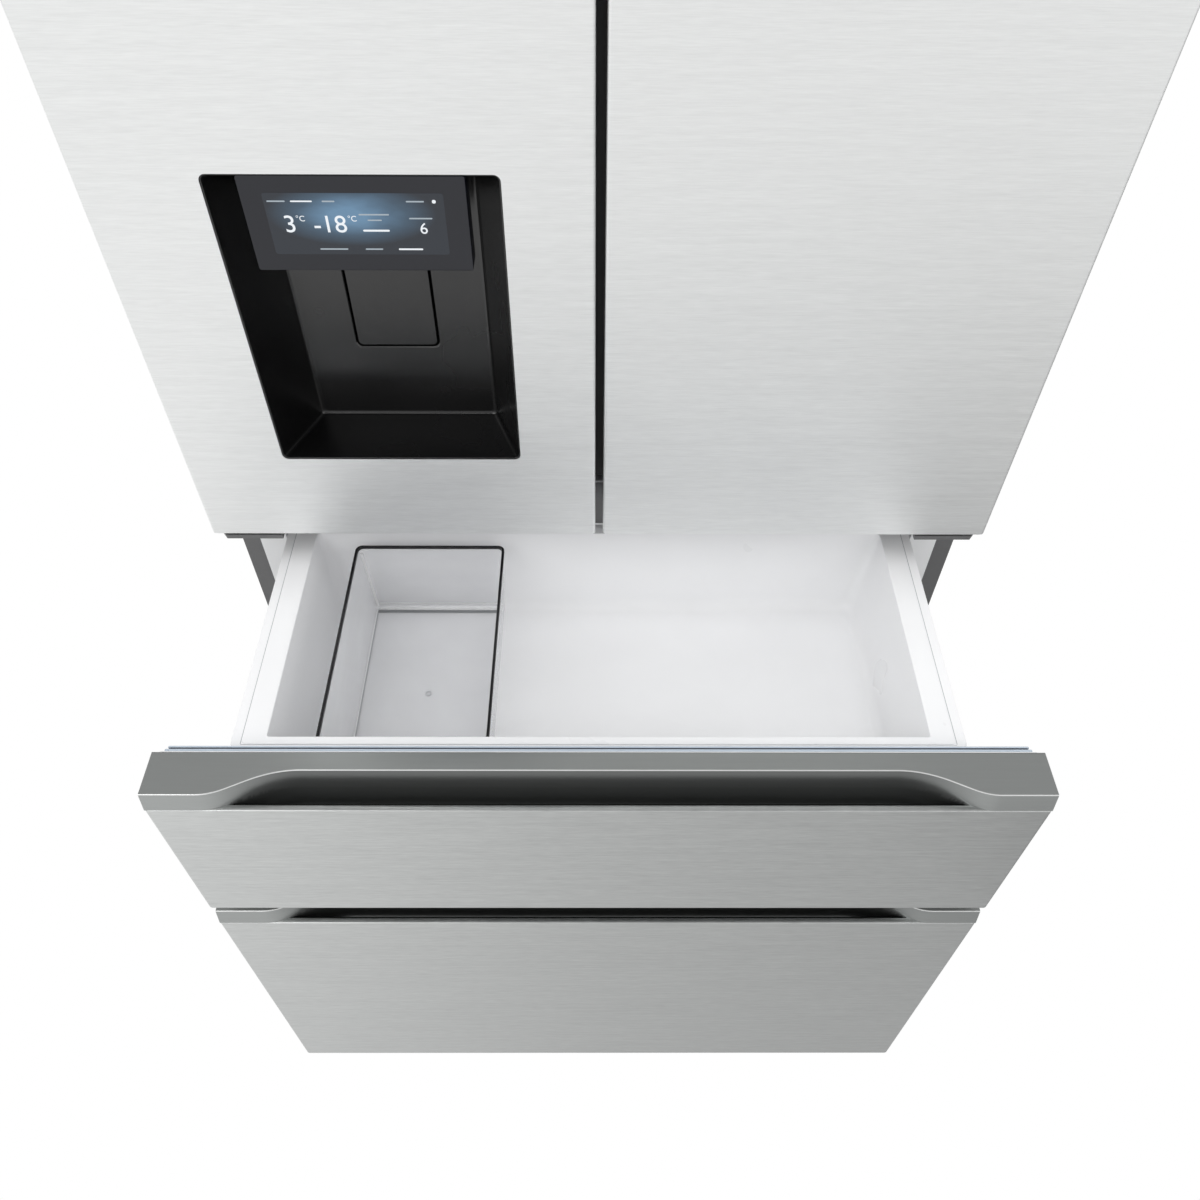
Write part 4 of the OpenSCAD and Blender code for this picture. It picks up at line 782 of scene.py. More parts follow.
@dataclass(frozen=True)
class LitInk(Finish):
    """Lit figures on the screen."""

    def paint(self, g: Graph) -> None:
        """An even light of the finish's colour, with a trace of the panel's dots.

        Args:
            g: the material's nodes.
        """
        dots = g.noise((2500.0, 2500.0, 2500.0), 0.0)
        stops = [(0.2, tinted(self.colour, 0.92)), (0.8, self.colour)]
        g.join(g.ramp(dots, stops), g.shader.inputs["Emission Color"])
        g.set(Base_Color=(0.02, 0.02, 0.02, 1.0), Roughness=self.rough, Emission_Strength=1.0)


# Finishes

DOOR_STEEL = BrushedSteel("door_front_steel", "door_steel", (0.90, 0.91, 0.905), 0.48)
# The doors' steel painted darker for the drawer fronts: painted shade for the darker floor that they reflect
# low down
DRAWER_STEEL_SHADED = BrushedSteel("drawer_front_steel_shaded", "door_steel", (0.66, 0.674, 0.667), 0.36, 0.11, 620.0)
HANDLE_GREY = HandleMetal("handle_satin", "handle_grey", (0.378, 0.392, 0.386), 0.30)
CAP_SILVER = MouldedPlastic("door_cap_silver", "cap_silver", (0.46, 0.47, 0.47), 0.45)
CASE_GREY = SatinMetal("case_paint", "case_grey", (0.14, 0.14, 0.142), 0.42, 0.2)
ZINC = ZincSheet("zinc_sheet", "galvanised", (0.55, 0.56, 0.57), 0.42)
LINER_WHITE = MouldedPlastic("liner_plastic", "liner_white", (0.84, 0.845, 0.85), 0.38, 0.03)
BASKET_WHITE = MouldedPlastic("basket_plastic", "liner_white", (0.90, 0.903, 0.912), 0.30, 0.01, 0.15)
# Painted shade along the foot of the baskets' rim step
RIM_SHADE_LINE = MouldedPlastic("basket_rim_shade_line", "liner_white", (0.46, 0.47, 0.49), 0.5, 0.01)
GASKET_BLUE = SoftRubber("gasket_rubber", "gasket_grey", (0.50, 0.57, 0.65), 0.55)
# Near black ring that fills the gasket's fold between base and band: painted shade
GASKET_FOLD_SHADE = SoftRubber("gasket_fold_shade", "gasket_grey", (0.05, 0.056, 0.072), 0.6)
ORGANISER_CLEAR = ClearPlastic("organiser_plastic", "clear_plastic", (0.90, 0.905, 0.925), 0.20, 0.38)
BIN_CLEAR = ClearPlastic("bin_plastic", "clear_plastic", (0.72, 0.76, 0.80), 0.14, 0.35)
GLASS = ShelfGlass("shelf_pane", "shelf_glass", (0.92, 0.97, 0.95), 0.03)
RECESS_BLACK = MouldedPlastic("recess_plastic", "recess_black", (0.003, 0.003, 0.0032), 0.25, 0.0, 0.0, 0.85)
DISPLAY_BLACK = MouldedPlastic("display_glass", "recess_black", (0.006, 0.007, 0.012), 0.12, 0.0)
# Small relief bars, paler and more opaque than the box as painted highlights
RIDGE_HIGHLIGHT = ClearPlastic("organiser_highlit_ridge", "clear_plastic", (0.93, 0.935, 0.94), 0.25, 0.75)
# Painted shadow lines at the foot of the organiser's floor ledge and left side
LEDGE_SHADOW = ClearPlastic("organiser_ledge_shadow", "clear_plastic", (0.26, 0.27, 0.28), 0.3, 0.75)
MARK_GREY = ClearPlastic("organiser_mark", "clear_plastic", (0.60, 0.61, 0.63), 0.3, 0.75)
RIM_BLACK = MouldedPlastic("organiser_rim_black", "recess_black", (0.006, 0.006, 0.007), 0.34, 0.02)
DARK_PLASTIC = MouldedPlastic("dark_moulding", "dark_plastic", (0.085, 0.085, 0.088), 0.5, 0.12)
TYRE_DARK = SoftRubber("tyre_rubber", "dark_plastic", (0.03, 0.03, 0.03), 0.7)
ENAMEL = SatinMetal("compressor_enamel", "black_enamel", (0.018, 0.018, 0.019), 0.3, 0.0, 0.1)
COIL_BLACK = SatinMetal("coil_paint", "condenser_paint", (0.03, 0.03, 0.03), 0.45, 0.0, 0.1)
BRIGHT_ALLOY = SatinMetal("evaporator_alloy", "evaporator_metal", (0.80, 0.81, 0.82), 0.32, 1.0, 0.03)
FOAM = MouldedPlastic("foam_cells", "foam", (0.86, 0.78, 0.52), 0.85, 0.5)

# The finish of each solid that stays
KEPT_NODES: dict[str, Finish] = {
    "case_wrap": CASE_GREY, "rear_panels": ZINC, "base_frame": ZINC, "insulation": FOAM,
    "fridge_liner": LINER_WHITE, "drawer_liners": LINER_WHITE, "front_rails": CASE_GREY,
    "toe_grille": DARK_PLASTIC, "top_hinges": ZINC, "middle_hinges": CASE_GREY,
    "hinge_covers": DARK_PLASTIC, "hinge_screws": ZINC, "compressor": ENAMEL,
    "condenser_coil": COIL_BLACK, "fan_bracket": ZINC, "power_inlet": DARK_PLASTIC,
    "evaporator": BRIGHT_ALLOY, "evaporator_cover": LINER_WHITE, "fridge_duct": LINER_WHITE,
    "shelf_glass": GLASS, "shelf_frames": LINER_WHITE, "cabinet_rails": ZINC,
    "left_door_inner": LINER_WHITE, "right_door_inner": LINER_WHITE,
    "left_door_caps": CAP_SILVER, "right_door_caps": CAP_SILVER,
    "middle_drawer_inner": LINER_WHITE, "bottom_drawer_inner": LINER_WHITE,
    "dispenser_chute": RECESS_BLACK, "ice_maker": BIN_CLEAR, "mullion_flap": DARK_PLASTIC,
    "middle_basket_rails": ZINC, "bottom_basket_rails": ZINC,
    "left_foot": DARK_PLASTIC, "right_foot": DARK_PLASTIC, "left_roller": TYRE_DARK,
    "right_roller": TYRE_DARK, "condenser_fan": DARK_PLASTIC, "freezer_fan": DARK_PLASTIC,
}


# Sub-assemblies


@dataclass
class PressedFront:
    """A steel front, folded back along its sides.

    Attributes:
        rect: its sides x0, x1, z0, z1.
        top_depth: how deep the fold along the top is.
        bottom_depth: how deep the fold along the bottom is.
        corner: radius of its corners seen from the front.
        edge: radius of the fold along the sides.
        flat_edge: radius of the fold along the top and bottom.
        hole: sides of the opening in its face, or none.
        hole_r: corner radius of that opening.
        margin: how far inside its folds, and outside its opening, the plain face starts.
        sheet: thickness of the steel.
        steps: spans in each round corner.
    """

    rect: Rect
    top_depth: float = 1.2
    bottom_depth: float = 1.2
    corner: float = 2.5
    edge: float = 3.0
    flat_edge: float = 1.0
    hole: Rect | None = None
    hole_r: float = 6.6
    margin: float = 1.0
    sheet: float = 1.1
    steps: int = 6

    def loop(self, side: float, flat: float, y: float) -> np.ndarray:
        """Draws the front's outline at a depth.

        Args:
            side: how far inwards it lies along the sides.
            flat: how far inwards it lies along the top and bottom.
            y: its depth.

        Returns:
            The loop's points.
        """
        inner = grown(self.rect, (-side, -side, -flat, -flat))
        return upright(rounded_loop(inner, self.corner, self.steps), y)

    def folds(self) -> tuple[np.ndarray, np.ndarray]:
        """Works out the folds as loops round the face, from the back edge to the front.

        On the round of the fold a loop lies edge (1 - sin a) back and edge (1 - cos a) inwards,
        with a from 0 to a quarter turn, and less far in along the top and bottom.

        Returns:
            The loops, and the depth of each.
        """
        turns = {PANEL_D, self.top_depth, self.bottom_depth, self.edge}
        depths = sorted((d for d in turns if d >= self.edge), reverse=True)
        rows = [self.loop(0.0, 0.0, y) for y in depths]
        for a in quarter(5)[1:]:
            inwards, y = 1 - math.cos(a), self.edge * (1 - math.sin(a))
            rows.append(self.loop(self.edge * inwards, self.flat_edge * inwards, y))
            depths.append(y)
        return np.array(rows), np.array(depths)

    def build(self, place: Place, name: str, finish: Finish, body: str, node: str) -> None:
        """Makes the folds, then the face as straight lines from its outline to its opening.

        Where a fold along the top or bottom is less deep than those at the sides, the quads behind
        it are left out: column n - 1 spans the top and column 3 n - 1 the bottom.

        Args:
            place: where the sheet stands.
            name: the piece's name.
            finish: what it is made of.
            body: the moving body that it rides on.
            node: the solid that it stands for.
        """
        surface = Surface(place)
        rows, depths = self.folds()
        n = self.steps + 1
        keep = np.ones((len(rows) - 1, rows.shape[1]), dtype=bool)
        keep[depths[:-1] > self.top_depth, n - 1] = False
        keep[depths[:-1] > self.bottom_depth, 3 * n - 1] = False
        surface.grid(rows, keep=keep)
        face = self.loop(self.edge + self.margin, self.flat_edge + self.margin, 0.0)
        if self.hole is None:
            surface.grid(np.array([rows[-1], face]))
            surface.lid(face)
        else:
            turned_in = 1.2
            near = rounded_loop(grown(self.hole, self.margin), self.hole_r, self.steps)
            rim = rounded_loop(self.hole, self.hole_r, self.steps)
            surface.grid(np.array([rows[-1], face, upright(near, 0.0), upright(rim, 0.0),
                                   upright(rim, turned_in)]))
        surface.piece(name, finish, body, [node], closed=False, wall=self.sheet)


# Full depth of the scoop in a handle's cap, and how far from the appliance's side it starts
SCOOP_DEPTH = 28.2
SCOOP_SIDE = 55.0
# Lengths of the scoop's first parabola, of its straight run and of its second parabola
SCOOP_IN, SCOOP_RAMP, SCOOP_OUT = 28.0, 19.0, 52.0


def scoop(distance: np.ndarray) -> np.ndarray:
    """Gives how far back the finger scoop lies.

    It starts as a parabola, runs straight, and eases out as a second parabola, with the same
    slope where they meet.

    Args:
        distance: how far inwards from where the scoop starts.

    Returns:
        The set back at each distance.
    """
    slope = SCOOP_DEPTH / (SCOOP_IN / 2 + SCOOP_RAMP + SCOOP_OUT / 2)
    into = slope * np.clip(distance, 0, SCOOP_IN) ** 2 / (2 * SCOOP_IN)
    along = slope * np.clip(distance - SCOOP_IN, 0, SCOOP_RAMP)
    left = np.clip(distance - SCOOP_IN - SCOOP_RAMP, 0, SCOOP_OUT)
    return into + along + slope * (left - left ** 2 / (2 * SCOOP_OUT))


@dataclass
class Handle:
    """The grey cap along a drawer front's top, with the finger pocket that hangs below it.

    Attributes:
        panel_top: height of the steel below it.
        height: height of the cap.
        lip: depth of the steel lip in front of the pocket.
        low_set: set back of its lower edge.
        high_set: set back of its upper edge.
        edge: radius of its long edges.
        flat: length of the flat strip that the mesh keeps beside these edges.
        pocket: depth of the finger pocket below it.
        pocket_x: where the pocket ends on each side.
        pocket_end: length over which it closes there.
        wall: wall of the pocket.
    """

    panel_top: float
    height: float
    lip: float
    low_set: float = 0.4
    high_set: float = 4.7
    edge: float = 1.2
    flat: float = 0.6
    pocket: float = 37.0
    pocket_x: float = 371.2
    pocket_end: float = 4.0
    wall: float = 1.6

    def stations(self) -> np.ndarray:
        """Lays out the places along x where the section is drawn, closer in the scoop.

        Returns:
            The places in one row.
        """
        curve = np.linspace(0.0, SCOOP_IN + SCOOP_RAMP + SCOOP_OUT, 64)
        left = np.concatenate([[-HALF_W, -HALF_W + 1.0], -HALF_W + SCOOP_SIDE + curve])
        return np.concatenate([left, -left[::-1]])

    def cap_part(self, back: np.ndarray) -> tuple[np.ndarray, np.ndarray, np.ndarray]:
        """Works out the cap's part of the section, from its lower front edge over the top to the back.

        The face leans back by lean times t to the power 1 + 0.7 share, with t from 0 at its lower
        edge to 1 at its upper one and share the scoop's share of its full depth, so that the face
        runs on into the pocket's upright wall. Both upper edges are quarter circles. The tone is 1
        on the front edge's first points, a painted highlight, 0.1 down the back, painted shade, and
        lower on the face as the scoop deepens, painted shade that leads into the pocket.

        Args:
            back: the scoop's set back at each station, as a column.

        Returns:
            Depth, height and tone, each as stations by points.
        """
        z0, z1, r = self.panel_top, self.panel_top + self.height, self.edge
        share = back / SCOOP_DEPTH
        t = np.linspace(0.0, 1.0, 9)[None, :]
        turn = r * (1 - np.cos(quarter(4)))[None, :]
        drop = r * (1 - np.sin(quarter(4)))[None, :]
        front = self.high_set + back + turn
        ones = np.ones_like(back)
        y = np.concatenate([
            self.low_set + back + (self.high_set - self.low_set) * t ** (1.0 + 0.7 * share),
            front[:, 1:],
            front[:, -1:] + self.flat,
            ones * (PANEL_D - r - self.flat),
            ones * (PANEL_D - turn[:, ::-1]),
            ones * PANEL_D,
        ], axis=1)
        z = np.concatenate([
            ones * (z0 + (self.height - r) * t),
            ones * (z1 - drop[:, 1:]),
            ones * z1,
            ones * z1,
            ones * (z1 - drop[:, ::-1]),
            ones * z0,
        ], axis=1)
        face, highlight_points, rear = t.shape[1], 3, 5
        tone = np.full_like(y, 0.55)
        # Painted shade: the face darkens where the scoop sets it back
        tone[:, :face] = 0.5 - share * (0.2 - 0.03 * (1 - t))
        # Painted highlight along the front edge
        tone[:, face:face + highlight_points] = 1.0
        # Painted shade line down the back
        tone[:, -rear:] = 0.1
        return y, z, tone

    def pocket_part(self, back: np.ndarray,
                    open_share: np.ndarray) -> tuple[np.ndarray, np.ndarray, np.ndarray]:
        """Works out the pocket's part of the section, from its outside round to its back wall's top.

        It is drawn in full, and then pulled towards the cap's lower edge P by a share: a point Q
        lies at P + share (Q - P), so that the pocket closes where the scoop starts. The tone paints
        the pocket's light and shade: 0, painted shadow, outside and down the front wall, 0.4, painted
        light where the bottom's front faces up, falling along the bend into painted shade on the
        back wall, and rising again up that wall.

        Args:
            back: the scoop's set back at each station, as a column.
            open_share: 1 where the pocket is open and 0 where there is none, as a column.

        Returns:
            Depth, height and tone, each as stations by points.
        """
        behind_lip, below_top, bottom_r = 0.3, 0.5, 6.0
        z0 = self.panel_top
        low, brim = z0 - self.pocket, z0 - below_top
        y_back = self.low_set + back
        y_front = np.full_like(back, self.lip + behind_lip + self.wall)
        r = np.clip((y_back - y_front) * 0.45, 0.0, bottom_r)
        a = quarter(4)[None, :]
        over, under = 1 - np.cos(a), 1 - np.sin(a)
        ones = np.ones_like(back)
        up = np.linspace(0.0, 1.0, 8)[None, 1:]
        y = np.concatenate([
            y_back + self.wall, y_back + self.wall,
            y_front - self.wall, y_front - self.wall,
            y_front,
            y_front + r * over,
            y_back - r * under,
            y_back * np.ones_like(up),
        ], axis=1)
        z = np.concatenate([
            ones * z0, ones * (low - self.wall),
            ones * (low - self.wall), ones * brim,
            ones * brim,
            low + r * under,
            low + r * over,
            low + r + (self.pocket - r) * up,
        ], axis=1)
        outside, bend = 5, a.shape[1]
        # Painted shadow and painted light in the pocket, carried by the tone
        tone = np.zeros_like(y)
        tone[:, outside:outside + bend] = 0.4
        tone[:, outside + bend:outside + 2 * bend] = 0.45 - 0.3 * a / a.max()
        tone[:, outside + 2 * bend:] = 0.12 + 0.21 * up
        y = y_back + open_share * (y - y_back)
        z = z0 + open_share * (z - z0)
        tone = 0.5 + open_share * (tone - 0.5)
        return y, z, tone

    def build(self, body: str) -> None:
        """Carries the whole section along x.

        Args:
            body: the drawer that it rides on.
        """
        x = self.stations()[:, None]
        back = scoop(HALF_W - SCOOP_SIDE - np.abs(x))
        open_share = np.clip((self.pocket_x - np.abs(x)) / self.pocket_end, 0.0, 1.0)
        parts = [self.pocket_part(back, open_share), self.cap_part(back)]
        y, z, tone = (np.concatenate(both, axis=1) for both in zip(*parts))
        surface = Surface(Place.PULLED)
        surface.capped(np.stack([np.broadcast_to(x, y.shape), y, z], axis=-1), tone)
        surface.piece(f"{body}_grip", HANDLE_GREY, body, [f"{body}_handle"])


@dataclass
class Gasket:
    """A soft gasket round a rectangle, with a dark ring of painted shade in the fold of its bellows.

    Attributes:
        rect: its outer sides x0, x1, z0, z1.
        width: its width.
        front: depth of the face that it is pressed into.
        depth: its thickness when closed.
        step: how much narrower its closing band is at the sides, and above and below.
        bevel: width of the bevel along its base's edges.
    """

    rect: Rect
    width: float = 16.0
    front: float = EDGE_Y
    depth: float = 7.3
    step: tuple[float, float] = (2.3, 0.5)
    bevel: float = 0.5

    def ring(self, surface: Surface, section: Sequence[Sequence[float]]) -> None:
        """Carries a section round the rectangle; each of its points becomes one loop.

        Args:
            surface: what the ring is added to.
            section: points as inset, depth, and 1 where the step is added or 0.
        """
        rows = []
        for inset, y, stepped in [*section, section[0]]:
            side, flat = inset + stepped * self.step[0], inset + stepped * self.step[1]
            outline = rounded_loop(grown(self.rect, (-side, -side, -flat, -flat)), 1.0, 3)
            rows.append(upright(outline, self.front + y))
        surface.grid(np.array(rows))

    def build(self, place: Place, body: str) -> None:
        """Makes the base, the dark ring of painted shade in the fold, and the closing band.

        Args:
            place: where the gasket stands.
            body: the door or drawer that it rides on.
        """
        d, w, r = self.depth, self.width, self.bevel
        edge, top = d * 0.38, d * 0.45
        base = [[r, 0.0, 0], [0.0, r, 0], [0.0, edge, 0], [r, top, 0],
                [w - r, top, 0], [w, edge, 0], [w, r, 0], [w - r, 0.0, 0]]
        x0, x1, y0, y1 = 0.9, w - 4.0, d * 0.42, d * 0.75
        # The dark ring in the fold is painted shade, not a dark rubber
        fold = [[x0, y0, 1], [x0, y1, 1], [x1, y1, 1], [x1, y0, 1]]
        x1, y0, r = w - 4.4, d * 0.72, 0.6
        band = [[0.0, y0, 1], [0.0, d - r, 1], [r, d, 1], [x1 - r, d, 1], [x1, d - r, 1], [x1, y0, 1]]
        seal, shade_ring = Surface(place), Surface(place)
        self.ring(seal, base)
        self.ring(seal, band)
        self.ring(shade_ring, fold)
        seal.piece(f"{body}_seal", GASKET_BLUE, body, [f"{body}_gasket"])
        shade_ring.piece(f"{body}_seal_fold_shade", GASKET_FOLD_SHADE, body)


@dataclass
class Tub:
    """A moulded open tub with leaning walls, round corners and a flat rim.

    Attributes:
        rim: the rim's outer sides x0, x1, y0, y1.
        mouth: the inner sides at the rim.
        floor: the inner sides at the floor.
        rim_z: height of the rim's top.
        floor_z: height of the floor's upper face.
        rim_t: thickness of the rim.
        wall: thickness of the walls.
        mouth_r: corner radii at the mouth, as rounded_loop takes them.
        floor_r: least corner radii at the floor, in the same order.
        fillet: radius between floor and walls at x0, x1, y0, y1.
        step: inset of a fine step in the rim at x0, x1, y0, y1, or none.
        step_drop: how far the rim outside that step lies lower.
        rim_r: the rim's corner radius.
        rim_edge: radius of the rim's outer edge.
        mouth_edge: radius of the edge from the rim into the mouth.
        under_edge: greatest radius of the edge under the floor.
    """

    rim: Rect
    mouth: Rect
    floor: Rect
    rim_z: float
    floor_z: float
    rim_t: float = 3.0
    wall: float = 2.5
    mouth_r: Sequence[float] = (10.0, 10.0, 10.0, 10.0)
    floor_r: Sequence[float] = (4.0, 4.0, 4.0, 4.0)
    fillet: Sequence[float] = (8.0, 8.0, 6.0, 8.0)
    step: Sequence[float] | None = None
    step_drop: float = 0.9
    rim_r: float = 6.0
    rim_edge: float = 0.9
    mouth_edge: float = 1.2
    under_edge: float = 8.0

    def outside(self) -> list[np.ndarray]:
        """Works out the underside's edge and the outside up to the rim.

        Returns:
            The loops in that order.
        """
        radii = np.asarray(self.mouth_r, dtype=float)
        fillet = np.minimum(self.fillet, self.under_edge)
        tall, bottom = float(fillet.max()), self.floor_z - self.wall
        under = grown(self.floor, self.wall)
        low_r = np.maximum(radii, self.floor_r)
        rows = [level(rounded_loop(grown(under, -fillet * (1 - math.cos(a))), low_r),
                      bottom + tall * (1 - math.sin(a))) for a in quarter(4)[::-1]]
        depth = self.rim_z - self.floor_z
        x0, x1, y0, y1 = grown(between(self.mouth, self.floor, self.rim_t / depth), self.wall)
        neck = (max(x0, self.rim[0]), min(x1, self.rim[1]), max(y0, self.rim[2]), min(y1, self.rim[3]))
        rows.append(level(rounded_loop(neck, radii + 1.0), self.rim_z - self.rim_t))
        return rows

    def over_rim(self) -> list[np.ndarray]:
        """Works out the rim, from its underside over its outer edge to the edge of the mouth.

        Returns:
            The loops in that order.
        """
        bevel, low = 0.6, self.rim_z - self.rim_t
        brim = self.rim_z - (self.step_drop if self.step is not None else 0.0)
        steps = [(bevel, low), (0.0, low + bevel)]
        steps += [(self.rim_edge * (1 - math.cos(a)), brim - self.rim_edge * (1 - math.sin(a)))
                  for a in quarter(3)]
        if self.step is not None:
            line = np.asarray(self.step, dtype=float)
            steps += [(line, brim), (line + 0.5, self.rim_z - 0.2), (line + 1.0, self.rim_z)]
        rows = [level(rounded_loop(grown(self.rim, -inset), self.rim_r), z) for inset, z in steps]
        r = self.mouth_edge
        rows += [level(rounded_loop(grown(self.mouth, r * (1 - math.sin(a))), self.mouth_r),
                       self.rim_z - r * (1 - math.cos(a))) for a in quarter(4)]
        return rows

    def inside(self) -> list[np.ndarray]:
        """Works out the fillet between walls and floor.

        The wall's loop at height z is the rectangle a share (rim_z - z) / depth of the way from
        the mouth to the floor. In the fillet, of radius r, it lies r (1 - cos a) further in at
        r (1 - sin a) above the floor.

        Returns:
            The loops down to the edge of the inner floor.
        """
        fillet = np.asarray(self.fillet, dtype=float)
        tall = float(fillet.max())
        foot = between(self.mouth, self.floor, 1.0 - tall / (self.rim_z - self.floor_z))
        rows = []
        for a in quarter(8):
            rect = grown(between(foot, self.floor, math.sin(a)), -fillet * (1 - math.cos(a)))
            loop = rounded_loop(rect, np.maximum(self.mouth_r, self.floor_r))
            rows.append(level(loop, self.floor_z + tall * (1 - math.sin(a))))
        return rows

    def add(self, surface: Surface) -> None:
        """Adds the tub's closed shell to a surface, up its outside, over the rim and down inside."""
        surface.capped(np.array([*self.outside(), *self.over_rim(), *self.inside()]))


def straight_tubs(boxes: Sequence[tuple[Point, Point]]) -> Surface:
    """Makes tubs with upright walls, each of which fills a box.

    Args:
        boxes: the low and the high corner of each box.

    Returns:
        The tubs' surface.
    """
    wall, draft, radius = 2.5, 1.0, 6.0
    surface = Surface()
    for (x0, y0, z0), (x1, y1, z1) in boxes:
        rim = (x0, x1, y0, y1)
        mouth = grown(rim, -wall)
        Tub(rim, mouth, grown(mouth, -draft), z1, z0 + wall, rim_t=2.0, wall=wall - 0.2,
            mouth_r=(radius,) * 4, fillet=(6.0,) * 4, rim_r=radius + 1.0).add(surface)
    return surface


@dataclass
class Doors:
    """Both fridge doors' steel, gaskets and bins.

    Attributes:
        bottom: height of the doors' lower edge.
        top: height of their upper edge.
        split: half of the gap between them.
        hole: sides x0, x1, z0, z1 of the dispenser's opening in the left door's steel.
        seal_free: how far a gasket stays inside the door's edge at the gap.
        seal_hinge: how far it stays inside the edge at the hinges.
        bin_x: the right door's bins along x, which the left door's bin mirrors.
        bin_y: the bins' front and back.
        bin_h: height of the right door's bins.
        right_bins: the heights of their undersides.
        left_bin: underside and rim of the left door's bin.
    """

    bottom: float = 872.0
    top: float = 1756.0
    split: float = 4.5
    hole: Rect = (-345.0, -85.9, 988.4, 1309.6)
    seal_free: float = 4.0
    seal_hinge: float = 16.0
    bin_x: tuple[float, float] = (66.0, 372.0)
    bin_y: tuple[float, float] = (EDGE_Y, 163.4)
    bin_h: float = 78.0
    right_bins: Sequence[float] = (922.5, 1172.5, 1422.5)
    left_bin: tuple[float, float] = (922.5, 971.0)

    def build(self) -> None:
        """Builds both doors' outer pieces."""
        spans = (("left_door", -HALF_W, -self.split, self.hole, self.seal_hinge, self.seal_free),
                 ("right_door", self.split, HALF_W, None, self.seal_free, self.seal_hinge))
        for body, x0, x1, hole, low_seal, high_seal in spans:
            front = PressedFront((x0, x1, self.bottom, self.top), hole=hole)
            front.build(Place.CABINET, f"{body}_steel", DOOR_STEEL, body, f"{body}_skin")
            seal = grown(front.rect, (-low_seal, -high_seal, -SEAL_INSET, -SEAL_INSET))
            Gasket(seal).build(Place.CABINET, body)
        self.bins()

    def bins(self) -> None:
        """Builds the bins of both doors."""
        (x0, x1), (y0, y1), (low, high) = self.bin_x, self.bin_y, self.left_bin
        right = straight_tubs([((x0, y0, z), (x1, y1, z + self.bin_h)) for z in self.right_bins])
        right.piece("right_bins", BIN_CLEAR, "right_door", ["right_door_bins"])
        left = straight_tubs([((-x1, y0, low), (-x0, y1, high))])
        left.piece("left_bin", BIN_CLEAR, "left_door", ["left_door_bin"])


